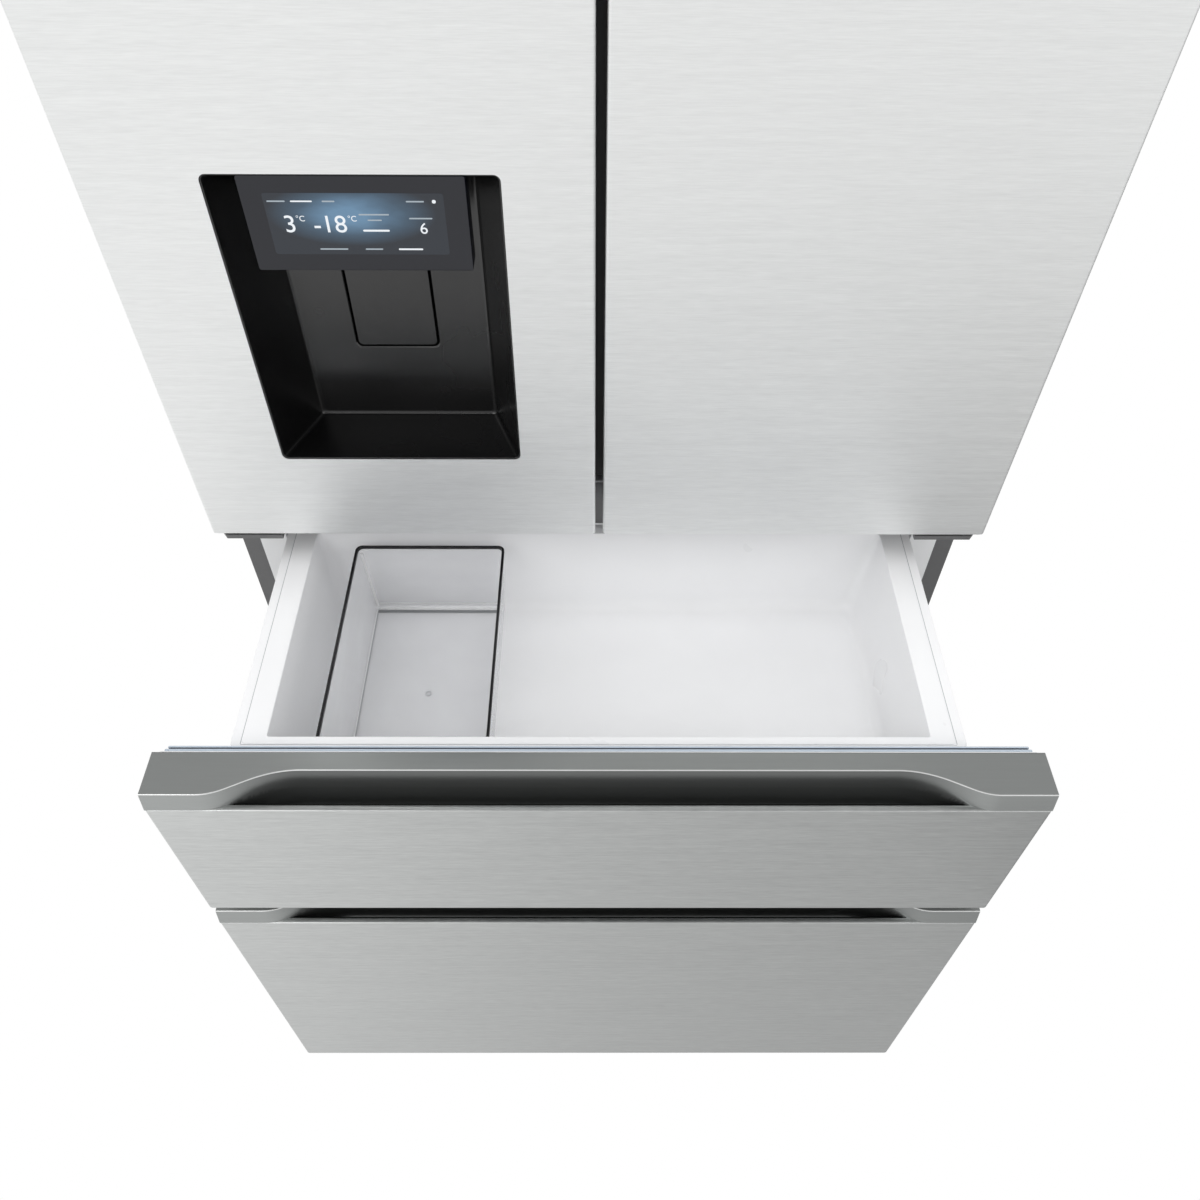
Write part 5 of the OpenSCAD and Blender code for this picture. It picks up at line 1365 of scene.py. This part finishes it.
@dataclass
class Dispenser:
    """The black recess in the left door with its display and paddle.

    Attributes:
        mouth: the recess's sides x0, x1, z0, z1 in the door's face.
        back: its sides at its back.
        depth: how deep it is.
        flange: width of the flange round its mouth.
        flange_y: depth of that flange's face.
        slot: sides of the pocket behind the paddle.
        slot_depth: depth of that pocket.
        paddle: the paddle's sides.
        paddle_t: its thickness.
        barrel: the hinge barrel's middle, as depth and height.
        barrel_r: the barrel's radius.
        glass: the display's sides.
        glass_front: depth of its front.
        glass_t: its thickness.
        screen: sides of the lit part of the glass.
    """

    mouth: Rect = (-343.4, -87.5, 990.0, 1308.0)
    back: Rect = (-314.4, -116.5, 990.0, 1308.0)
    depth: float = 77.0
    flange: float = 2.4
    flange_y: float = 0.9
    slot: Rect = (-259.7, -171.2, 1080.0, 1242.0)
    slot_depth: float = 27.0
    paddle: Rect = (-257.7, -173.2, 1082.0, 1240.0)
    paddle_t: float = 4.0
    barrel: tuple[float, float] = (84.0, 1236.0)
    barrel_r: float = 5.0
    glass: Rect = (-313.9, -116.9, 1218.0, 1308.0)
    glass_front: float = 0.4
    glass_t: float = 23.0
    screen: Rect = (-294.5, -137.0, 1234.4, 1292.7)

    def build(self) -> None:
        """Builds the recess, the paddle, the display and what it shows."""
        self.recess().piece("dispenser_recess", RECESS_BLACK, "left_door", ["dispenser_housing"],
                            closed=False, wall=2.0, sharp=40.0)
        self.push_paddle().piece("dispenser_push_paddle", RECESS_BLACK, "paddle",
                                 ["dispenser_paddle"], sharp=40.0)
        self.display().piece("display_panel", DISPLAY_BLACK, "left_door", ["dispenser_display"])
        self.light()
        self.figures()

    def recess(self) -> Surface:
        """Runs loops from the flange down the leaning walls, over a round, and to the paddle's slot.

        On the round, of radius r, a loop lies r (1 - cos a) in at r (1 - sin a) before the back.

        Returns:
            The recess's inner surface.
        """
        flange_r, corner, back_r, lip_r, bevel = 7.4, 5.0, 4.0, 0.4, 0.8
        slot_r = (3.0, 3.0, 7.0, 7.0)
        outlines = [(grown(self.mouth, self.flange), flange_r, self.flange_y),
                    (grown(self.mouth, lip_r), corner + lip_r, self.flange_y)]
        outlines += [(grown(self.mouth, lip_r * (1 - math.sin(a))), corner,
                      self.flange_y + lip_r * (1 - math.cos(a))) for a in quarter(3)[1:]]
        near = between(self.mouth, self.back, 1 - back_r / self.depth)
        outlines += [(grown(between(near, self.back, math.sin(a)), -back_r * (1 - math.cos(a))), corner,
                      self.depth - back_r * (1 - math.sin(a))) for a in quarter(5)]
        outlines += [(grown(self.back, -back_r - bevel), back_r, self.depth),
                     (grown(self.slot, 2 * bevel), slot_r, self.depth),
                     (grown(self.slot, bevel), slot_r, self.depth),
                     (self.slot, slot_r, self.depth + bevel),
                     (self.slot, slot_r, self.depth + self.slot_depth)]
        rows = [upright(rounded_loop(rect, radii), y) for rect, radii, y in outlines]
        surface = Surface()
        surface.grid(np.array(rows))
        surface.lid(rows[-1])
        return surface

    def push_paddle(self) -> Surface:
        """Makes the paddle as a plate with round edges and the barrel of its hinge behind.

        Returns:
            The closed paddle.
        """
        radii, edge, inner = (2.0, 2.0, 5.0, 5.0), 1.0, 0.8
        front = [(edge + inner, 0.0), (edge, 0.0)]
        front += [(edge * (1 - math.sin(a)), edge * (1 - math.cos(a))) for a in quarter(3)[1:]]
        rows = [upright(rounded_loop(grown(self.paddle, -inset), radii), self.depth + back)
                for inset, back in [*front, (0.0, self.paddle_t)]]
        surface = Surface()
        surface.capped(np.array(rows))
        turn = circle(self.barrel_r) + self.barrel
        surface.capped(np.array([np.column_stack([np.full(len(turn), x), turn])
                                 for x in (self.paddle[0] + edge, self.paddle[1] - edge)]))
        return surface

    def display(self) -> Surface:
        """Makes the display's glass as a slab with small rounds along its front edges.

        Returns:
            The closed slab.
        """
        corner, edge = 2.0, 0.5
        sides = [(corner, 0.0)]
        sides += [(edge * (1 - math.sin(a)), edge * (1 - math.cos(a))) for a in quarter(4)]
        rows = [upright(rounded_loop(grown(self.glass, -inset), corner), self.glass_front + back)
                for inset, back in [*sides, (0.0, self.glass_t)]]
        surface = Surface()
        surface.capped(np.array(rows))
        return surface

    def sheet(self, surface: Surface, rect: Rect, corner: float, steps: int,
              proud: tuple[float, float]) -> None:
        """Adds a thin closed sheet that lies on the glass.

        Args:
            surface: what it is added to.
            rect: its sides.
            corner: radius of its corners.
            steps: spans in each corner.
            proud: how far its front and its back stand in front of the glass.
        """
        outline = rounded_loop(rect, corner, steps)
        surface.capped(np.array([upright(outline, self.glass_front - y) for y in proud]))

    def light(self) -> None:
        """Lays the lit screen a hair in front of the glass."""
        x0, x1, z0, z1 = self.screen
        left_by, height_share = 4.0, 0.66
        middle = np.array([(x0 + x1) / 2 - left_by, 0.0, z0 + height_share * (z1 - z0)])
        glow = ScreenGlow("screen_light", "recess_black", (0.09, 0.175, 0.27), 0.25,
                          tuple(float(v) for v in Place.CABINET.metres(middle)), (0.075, 0.030))
        surface = Surface()
        self.sheet(surface, self.screen, 2.5, 6, (0.12, -0.2))
        surface.piece("display_screen", glow, "left_door")

    def figures(self) -> None:
        """Sets plain numbers and bars on the screen.

        Each has its middle as shares of the screen's width and height. A number then has its
        height in millimetres, and a bar its own width and height as shares.
        """
        ink = LitInk("screen_figures", "recess_black", (0.86, 0.90, 0.94), 0.4)
        dim = LitInk("screen_labels", "recess_black", (0.36, 0.42, 0.47), 0.4)
        x0, x1, z0, z1 = self.screen
        w, h = x1 - x0, z1 - z0
        for name, text, u, v, size in (
                ("figure_three", "3", 0.12, 0.49, 17.0), ("figure_cold", "-18", 0.345, 0.49, 17.0),
                ("figure_six", "6", 0.87, 0.43, 11.0), ("degree_warm", "\u00b0C", 0.185, 0.59, 5.5),
                ("degree_cold", "\u00b0C", 0.475, 0.59, 5.5)):
            letters(name, text, x0 + u * w, z0 + v * h, size, self.glass_front - 0.3, ink)
        pale = ((0.07, 0.87, 0.10, 0.022), (0.36, 0.87, 0.07, 0.022), (0.84, 0.87, 0.10, 0.022),
                (0.60, 0.66, 0.17, 0.022), (0.60, 0.57, 0.08, 0.020), (0.86, 0.60, 0.13, 0.022),
                (0.34, 0.09, 0.16, 0.022), (0.57, 0.09, 0.10, 0.022))
        bright = ((0.21, 0.87, 0.12, 0.022), (0.945, 0.87, 0.022, 0.055), (0.60, 0.40, 0.15, 0.030),
                  (0.78, 0.09, 0.14, 0.026))
        for name, bars, finish in (("screen_pale_bars", pale, dim), ("screen_bright_bars", bright, ink)):
            surface = Surface()
            for u, v, wide, tall in bars:
                cx, cz = x0 + u * w, z0 + v * h
                rect = (cx - wide * w / 2, cx + wide * w / 2, cz - tall * h / 2, cz + tall * h / 2)
                self.sheet(surface, rect, 0.45 * tall * h, 3, (0.30, 0.12))
            surface.piece(name, finish, "left_door")


def letters(name: str, text: str, x: float, z: float, size: float, y: float, finish: Finish) -> None:
    """Makes plain figures as a thin mesh on the left door's front.

    Args:
        name: the object's name.
        text: the figures.
        x: their middle along x.
        z: their middle height.
        size: their height in millimetres.
        y: the depth that they are set at.
        finish: what they are made of.
    """
    font_share, half_thick = 1.35, 0.06
    curve = bpy.data.curves.new(name + "_curve", "FONT")
    curve.body = text
    curve.align_x = "CENTER"
    curve.align_y = "CENTER"
    curve.size = size * font_share
    curve.extrude = half_thick
    holder = bpy.data.objects.new(name + "_curve", curve)
    put(holder)
    bpy.context.view_layer.update()
    flat = bpy.data.meshes.new_from_object(holder.evaluated_get(bpy.context.evaluated_depsgraph_get()))
    bpy.data.objects.remove(holder)
    co = np.empty(len(flat.vertices) * 3)
    flat.vertices.foreach_get("co", co)
    co = co.reshape(-1, 3)
    placed = np.column_stack([co[:, 0] + x, y - co[:, 2], co[:, 1] + z])
    flat.vertices.foreach_set("co", Place.CABINET.metres(placed).ravel())
    flat.update()
    flat.name = name
    settle(bpy.data.objects.new(name, flat), finish, "left_door")


@dataclass
class DrawerFront:
    """A drawer's steel front with its handle cap, pocket and gasket.

    Attributes:
        word: the drawer's name, which starts its body's and nodes' names.
        bottom: height of the steel's lower edge.
        panel_top: height of the steel's upper edge.
        cap_h: height of the cap above it.
        lip: depth of the steel's fold along the top, in front of the finger pocket.
        corner: radius of the steel's corners.
        seal_side: how far the gasket stays inside the front's sides.
    """

    word: str
    bottom: float
    panel_top: float
    cap_h: float = 23.1
    lip: float = 6.4
    corner: float = 2.0
    seal_side: float = 9.4

    def build(self) -> None:
        """Builds the front's pieces."""
        body = f"{self.word}_drawer"
        front = PressedFront((-HALF_W, HALF_W, self.bottom, self.panel_top), top_depth=self.lip,
                             bottom_depth=PANEL_D, corner=self.corner)
        front.build(Place.PULLED, f"{body}_steel", DRAWER_STEEL_SHADED, body, f"{body}_skin")
        Handle(self.panel_top, self.cap_h, self.lip).build(body)
        whole = (-HALF_W, HALF_W, self.bottom, self.panel_top + self.cap_h)
        inset = (-self.seal_side, -self.seal_side, -SEAL_INSET, -SEAL_INSET)
        Gasket(grown(whole, inset)).build(Place.PULLED, body)


@dataclass
class Baskets:
    """The drawers' baskets, the tray above the lower one, and the fridge's drawers.

    Attributes:
        rim: the outer sides x0, x1, y0, y1 of both baskets' rims.
        mouth: their inner sides at the rim.
        floor: their inner sides at the floor.
        step: inset of the fine step in their rims, at those four sides.
        heights: each drawer's name with its basket's rim and floor heights.
        crispers: the low and high corner of each of the fridge's drawers.
    """

    rim: Rect = (-389.0, 389.0, 78.0, 411.6)
    mouth: Rect = (-352.0, 352.0, 91.1, 391.6)
    floor: Rect = (-338.0, 338.0, 97.1, 376.6)
    step: Sequence[float] = (11.0, 11.0, 3.5, 8.0)
    heights: Sequence[tuple[str, float, float]] = (("middle", 819.1, 697.1), ("bottom", 412.4, 112.4))
    crispers: Sequence[tuple[Point, Point]] = (
        ((4.0, 198.0, 1016.5), (387.0, 590.0, 1173.5)),
        ((-387.0, 198.0, 1016.5), (-4.0, 590.0, 1173.5)),
        ((-387.0, 198.0, 896.5), (387.0, 590.0, 996.5)),
    )

    def build(self) -> None:
        """Builds every basket."""
        for word, rim_z, floor_z in self.heights:
            surface = Surface(Place.PULLED)
            tub = Tub(self.rim, self.mouth, self.floor, rim_z, floor_z, mouth_r=(6.0, 6.0, 2.5, 2.5),
                      floor_r=(20.0, 20.0, 4.0, 4.0), fillet=(4.0, 10.0, 5.0, 16.0), step=self.step)
            tub.add(surface)
            surface.piece(f"{word}_drawer_basket", BASKET_WHITE, f"{word}_drawer", [f"{word}_basket"])
            # Thin bars of painted shade in the rim step's crease
            lines = self.rim_shade_lines(rim_z - tub.step_drop)
            lines.piece(f"{word}_basket_rim_lines", RIM_SHADE_LINE, f"{word}_drawer")
        self.tray()
        drawers = straight_tubs(self.crispers)
        drawers.piece("fridge_crispers", BIN_CLEAR, "cabinet", ["fridge_drawers"])

    def tray(self) -> None:
        """Builds the tray, which stays in the cabinet while the drawers stand open."""
        rim, mouth = (-395.0, 395.0, 83.1, 399.1), (-352.0, 352.0, 91.1, 391.1)
        floor, rim_z, floor_z = grown(mouth, -6.0), 512.4, 428.4
        surface = Surface()
        Tub(rim, mouth, floor, rim_z, floor_z, mouth_r=(14.0,) * 4, fillet=(8.0,) * 4,
            step=(12.0, 12.0, 3.0, 3.0)).add(surface)
        surface.piece("freezer_tray", BASKET_WHITE, "tray", ["upper_tray"])

    def rim_shade_lines(self, z: float) -> Surface:
        """Lays a fine line of painted shade along the foot of the rim's step, at both sides and in front.

        Args:
            z: height of the rim outside its step.

        Returns:
            The lines' surface.
        """
        beside, proud, thick = 0.3, 0.05, (0.0, 0.0, 0.1)
        x0, x1, y0, y1 = grown(self.rim, [-inset for inset in self.step])
        lines = Surface(Place.PULLED)
        for x in (x0 - beside, x1 + beside):
            lines.bar((x, y0 + 0.5, z + proud), (x, y1, z + proud), (0.4, 0.0, 0.0), thick)
        lines.bar((x0, y0 - beside, z + proud), (x1, y0 - beside, z + proud), (0.0, 0.3, 0.0), thick)
        return lines


@dataclass
class Organiser:
    """The translucent box with a black rim that stands in the middle basket.

    Attributes:
        outer: the box's outer sides x0, x1, y0, y1 at its rim.
        lean: how far each wall leans in down to the floor.
        wall: its wall's thickness.
        base_z: height of its underside.
        top_z: height of the black rim's top.
        rim_h: height of that rim.
        rim_w: width of that rim.
        mark: the middle of the round mark on its floor.
    """

    outer: Rect = (-301.5, -118.5, 93.2, 375.5)
    lean: Sequence[float] = (6.0, 6.0, 6.0, 2.0)
    wall: float = 2.0
    base_z: float = 697.4
    top_z: float = 813.1
    rim_h: float = 4.5
    rim_w: float = 3.2
    mark: tuple[float, float] = (-211.0, 232.0)

    def build(self) -> None:
        """Builds the box, its rim, and along its floor the fine relief with painted highlight and shadow
        lines.
        """
        mouth = grown(self.outer, -self.wall)
        floor = grown(mouth, [-v for v in self.lean])
        base = self.base_z + self.wall
        surface = Surface(Place.PULLED)
        Tub(self.outer, mouth, floor, self.top_z - self.rim_h, base, rim_t=1.2, wall=self.wall,
            mouth_r=(7.0,) * 4, fillet=(4.0, 4.0, 4.0, 3.0), rim_r=8.0).add(surface)
        surface.piece("organiser_tub", ORGANISER_CLEAR, "organiser", ["organiser_box"])
        self.rim().piece("organiser_edge", RIM_BLACK, "organiser", ["organiser_rim"])
        self.gate_mark(base).piece("organiser_gate_mark", MARK_GREY, "organiser")
        self.ridges(mouth, floor, base).piece("organiser_highlit_ridges", RIDGE_HIGHLIGHT, "organiser")
        self.ledge_shadows(floor, base).piece("organiser_ledge_shadows", LEDGE_SHADOW, "organiser")

    def gate_mark(self, base: float) -> Surface:
        """Makes the small ring that the mould's gate leaves on the floor.

        Args:
            base: height of the floor's upper face.

        Returns:
            The closed ring.
        """
        inner, outer, low, high = 2.4, 4.0, 0.1, 0.5
        section = ((inner, low), (inner, high), (outer, high), (outer, low), (inner, low))
        surface = Surface(Place.PULLED)
        surface.grid(np.array([level(circle(r) + self.mark, base + z) for r, z in section]))
        return surface

    def ridges(self, mouth: Rect, floor: Rect, base: float) -> Surface:
        """Lays pale relief lines, made lighter as painted highlights: along the floor's back and left,
        across the back wall, up its left corner.

        Args:
            mouth: the box's inner sides at its rim.
            floor: its inner sides at its floor.
            base: height of the floor's upper face.

        Returns:
            The lines' surface.
        """
        x0, x1, y0, y1 = floor
        pale = Surface(Place.PULLED)
        pale.bar((x0 + 1, y1 - 3.0, base + 0.4), (x1 - 1, y1 - 3.0, base + 0.4), (0, 1.4, 0), (0, 0, 0.5))
        pale.bar((x0, y1 + 0.1, base + 8.0), (x1, y1 + 0.1, base + 8.0), (0, 0.3, 0), (0, 0, 1.6))
        pale.bar((x0 + 0.8, y0 + 4, base + 1.0), (x0 + 0.8, y1 - 4, base + 1.0), (0.5, 0, 0), (0, 0, 0.6))
        pale.bar((mouth[0] + 2.5, mouth[3] - 2.5, self.top_z - 9.0), (x0 + 2.5, y1 - 2.5, base + 6.0),
                 (1.0, 1.0, 0), (-0.3, 0.3, 0))
        return pale

    def ledge_shadows(self, floor: Rect, base: float) -> Surface:
        """Lays lines of painted shadow on the floor, beside the pale ones at its back and its left.

        Args:
            floor: the box's inner sides at its floor.
            base: height of the floor's upper face.

        Returns:
            The lines' surface.
        """
        x0, x1, y0, y1 = floor
        dark = Surface(Place.PULLED)
        dark.bar((x0 + 2, y1 - 7.2, base + 0.2), (x1 - 2, y1 - 7.2, base + 0.2), (0, 2.1, 0), (0, 0, 0.3))
        dark.bar((x0 + 2.6, y0 + 4, base + 0.2), (x0 + 2.6, y1 - 10, base + 0.2), (0.35, 0, 0), (0, 0, 0.3))
        return dark

    def rim(self) -> Surface:
        """Carries a small round-edged section round the box's mouth.

        Returns:
            The closed ring.
        """
        overlap, edge, bend = 1.0, 0.8, 0.25
        side_r, front_r, across = 8.0, 2.5, 0.6
        z0, z1, w = self.top_z - self.rim_h, self.top_z, self.rim_w
        section = ((0.0, z0), (0.0, z1 - edge), (bend, z1 - bend), (edge, z1), (w - edge, z1),
                   (w - bend, z1 - bend), (w, z1 - edge), (w, z0), (0.0, z0))
        rows = []
        for inset, z in section:
            rect = grown(grown(self.outer, overlap), (-inset, -inset, -across * inset, -across * inset))
            back_r = side_r - across * inset
            rows.append(level(rounded_loop(rect, (back_r, back_r, front_r, front_r)), z))
        surface = Surface(Place.PULLED)
        surface.grid(np.array(rows))
        return surface


@dataclass(frozen=True)
class Lamp:
    """A square soft lamp.

    Attributes:
        name: its name.
        where: its place in metres.
        size: its side in metres.
        watts: its power.
        mirrored: whether it shows in reflections.
    """

    name: str
    where: Point
    size: float
    watts: float
    mirrored: bool = True

    def build(self, aim: Vector) -> None:
        """Hangs the lamp.

        Args:
            aim: the point that it faces.
        """
        data = bpy.data.lights.new(self.name, "AREA")
        data.shape = "SQUARE"
        data.size = self.size
        data.energy = self.watts
        lamp = bpy.data.objects.new(self.name, data)
        put(lamp)
        lamp.location = self.where
        lamp.visible_glossy = self.mirrored
        lamp.rotation_mode = "QUATERNION"
        lamp.rotation_quaternion = (aim - Vector(self.where)).to_track_quat("-Z", "Y")


@dataclass
class Studio:
    """The camera, the lights and the floor.

    Attributes:
        focal: the lens in pixels of the picture.
        picture: the picture's side in pixels.
        sensor: width of the sensor in millimetres.
        pitch: how far the camera looks down, in degrees.
        yaw: its turn to the left, in degrees.
        roll: its roll, in degrees.
        eye: its place in millimetres of the closed appliance.
        aim: the point that the lamps face, in metres.
        lamps: the lamps.
        half_floor: half of the floor's side, in metres.
    """

    focal: float = 1020.11
    picture: float = 1200.0
    sensor: float = 36.0
    pitch: float = 49.2955
    yaw: float = -0.3974
    roll: float = 0.3897
    eye: Point = (-4.27, -843.20, 1733.50)
    aim: Point = (0.0, -0.2, 0.8)
    lamps: Sequence[Lamp] = (
        Lamp("key", (-2.4, -2.6, 3.6), 2.6, 40.0),
        Lamp("fill", (2.8, -2.2, 2.6), 2.4, 16.0),
        Lamp("over", (0.0, -0.5, 4.2), 3.0, 36.0, mirrored=False),
    )
    half_floor: float = 14.0

    def build(self) -> None:
        """Makes the camera, lights and floor."""
        self.camera()
        self.world()
        for lamp in self.lamps:
            lamp.build(Vector(self.aim))
        self.floor()
        bpy.context.scene.view_settings.view_transform = "Standard"

    def camera(self) -> None:
        """Aims the camera by its pitch, yaw and roll."""
        p, t, r = (math.radians(v) for v in (self.pitch, self.yaw, self.roll))
        turn = Matrix.Rotation(t, 3, "Z")
        ahead = turn @ Vector((0.0, math.cos(p), -math.sin(p)))
        up = turn @ Vector((0.0, math.sin(p), math.cos(p)))
        right = turn @ Vector((1.0, 0.0, 0.0))
        side = math.cos(r) * right + math.sin(r) * up
        top = -math.sin(r) * right + math.cos(r) * up
        data = bpy.data.cameras.new("camera")
        data.lens = self.focal / self.picture * self.sensor
        data.sensor_width = self.sensor
        data.sensor_fit = "HORIZONTAL"
        data.clip_end = 100.0
        thing = bpy.data.objects.new("camera", data)
        put(thing)
        where = Vector(Place.CABINET.metres(np.array(self.eye)).tolist())
        thing.matrix_world = Matrix.Translation(where) @ Matrix((side, top, -ahead)).transposed().to_4x4()
        bpy.context.scene.camera = thing

    def world(self) -> None:
        """Sets a pale world, which reflections see darker overhead."""
        world = bpy.data.worlds.new("studio")
        world.use_nodes = True
        g = Nodes(world.node_tree)
        plain = g.tree.nodes["Background"]
        plain.inputs["Color"].default_value = (1.0, 1.0, 1.0, 1.0)
        plain.inputs["Strength"].default_value = 0.80
        source = g.add("ShaderNodeTexCoord")
        split = g.add("ShaderNodeSeparateXYZ")
        g.join(source.outputs["Object"], split.inputs["Vector"])
        mirrored = g.add("ShaderNodeBackground")
        sky = g.ramp(split.outputs["Z"], [(0.02, grey(0.95)), (0.38, grey(0.40))])
        g.join(sky, mirrored.inputs["Color"])
        path = g.add("ShaderNodeLightPath")
        mixed = g.mix_shaders(path.outputs["Is Glossy Ray"], plain.outputs["Background"],
                              mirrored.outputs["Background"])
        g.join(mixed, g.tree.nodes["World Output"].inputs["Surface"])
        bpy.context.scene.world = world

    def floor(self) -> None:
        """Lays a wide pale floor that the camera sees as a white background."""
        mesh = bpy.data.meshes.new("floor")
        s = self.half_floor
        mesh.from_pydata([(-s, -s, 0.0), (s, -s, 0.0), (s, s, 0.0), (-s, s, 0.0)], [], [(0, 1, 2, 3)])
        ground = bpy.data.objects.new("floor", mesh)
        put(ground)
        ground.data.materials.append(self.paper())

    def paper(self) -> bpy.types.Material:
        """Makes the floor's paper.

        Reflections see it white, but close to the appliance it turns greyer from left to right,
        as the paper of a studio does beside a lamp.

        Returns:
            The material.
        """
        g = Graph("floor_paper")
        grain = g.noise((6.0, 6.0, 6.0), 3.0)
        shades = g.ramp(grain, [(NOISE_LOW, grey(0.86)), (NOISE_HIGH, grey(0.88))])
        g.join(shades, g.shader.inputs["Base Color"])
        g.set(Roughness=0.9)
        split = g.add("ShaderNodeSeparateXYZ")
        g.join(g.coordinates((0.3, 1.0, 1.0), (0.5, 0.0, 0.0)), split.inputs["Vector"])
        across = g.ramp(split.outputs["X"], [(0.2, grey(0.92)), (0.5, grey(0.56)), (0.7, grey(0.40)),
                                             (0.8, grey(0.20))])
        close = g.add("ShaderNodeMapRange", From_Min=-2.1, From_Max=-1.6)
        g.join(split.outputs["Y"], close.inputs["Value"])
        tone = g.mix_colours(close.outputs["Result"], (*grey(0.97), 1.0), across)
        dim = g.add("ShaderNodeEmission", Strength=1.0)
        g.join(tone, dim.inputs["Color"])
        white = g.add("ShaderNodeEmission", Strength=1.0)
        path = g.add("ShaderNodeLightPath")
        seen = g.arithmetic("MAXIMUM", path.outputs["Is Glossy Ray"], path.outputs["Is Transmission Ray"])
        share = g.arithmetic("MULTIPLY", seen, 0.85)
        mirrored = g.mix_shaders(share, g.shader.outputs["BSDF"], dim.outputs["Emission"])
        whole = g.mix_shaders(path.outputs["Is Camera Ray"], mirrored, white.outputs["Emission"])
        g.join(whole, g.output.inputs["Surface"])
        return g.material


def dress_kept_nodes() -> None:
    """Gives each solid that stays its finish."""
    for name, finish in KEPT_NODES.items():
        finish.dress(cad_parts[name])
        LOG.info("%s: kept with %s", name, finish.slot)


def main() -> None:
    """Builds the studio and every sub-assembly."""
    logging.basicConfig(level=logging.INFO, format="%(name)s %(message)s")
    Studio().build()
    dress_kept_nodes()
    Doors().build()
    Dispenser().build()
    DrawerFront("middle", bottom=594.5, panel_top=823.5).build()
    DrawerFront("bottom", bottom=57.9, panel_top=551.6).build()
    Baskets().build()
    Organiser().build()
    bpy.context.view_layer.update()


if __name__ == "__main__":
    main()
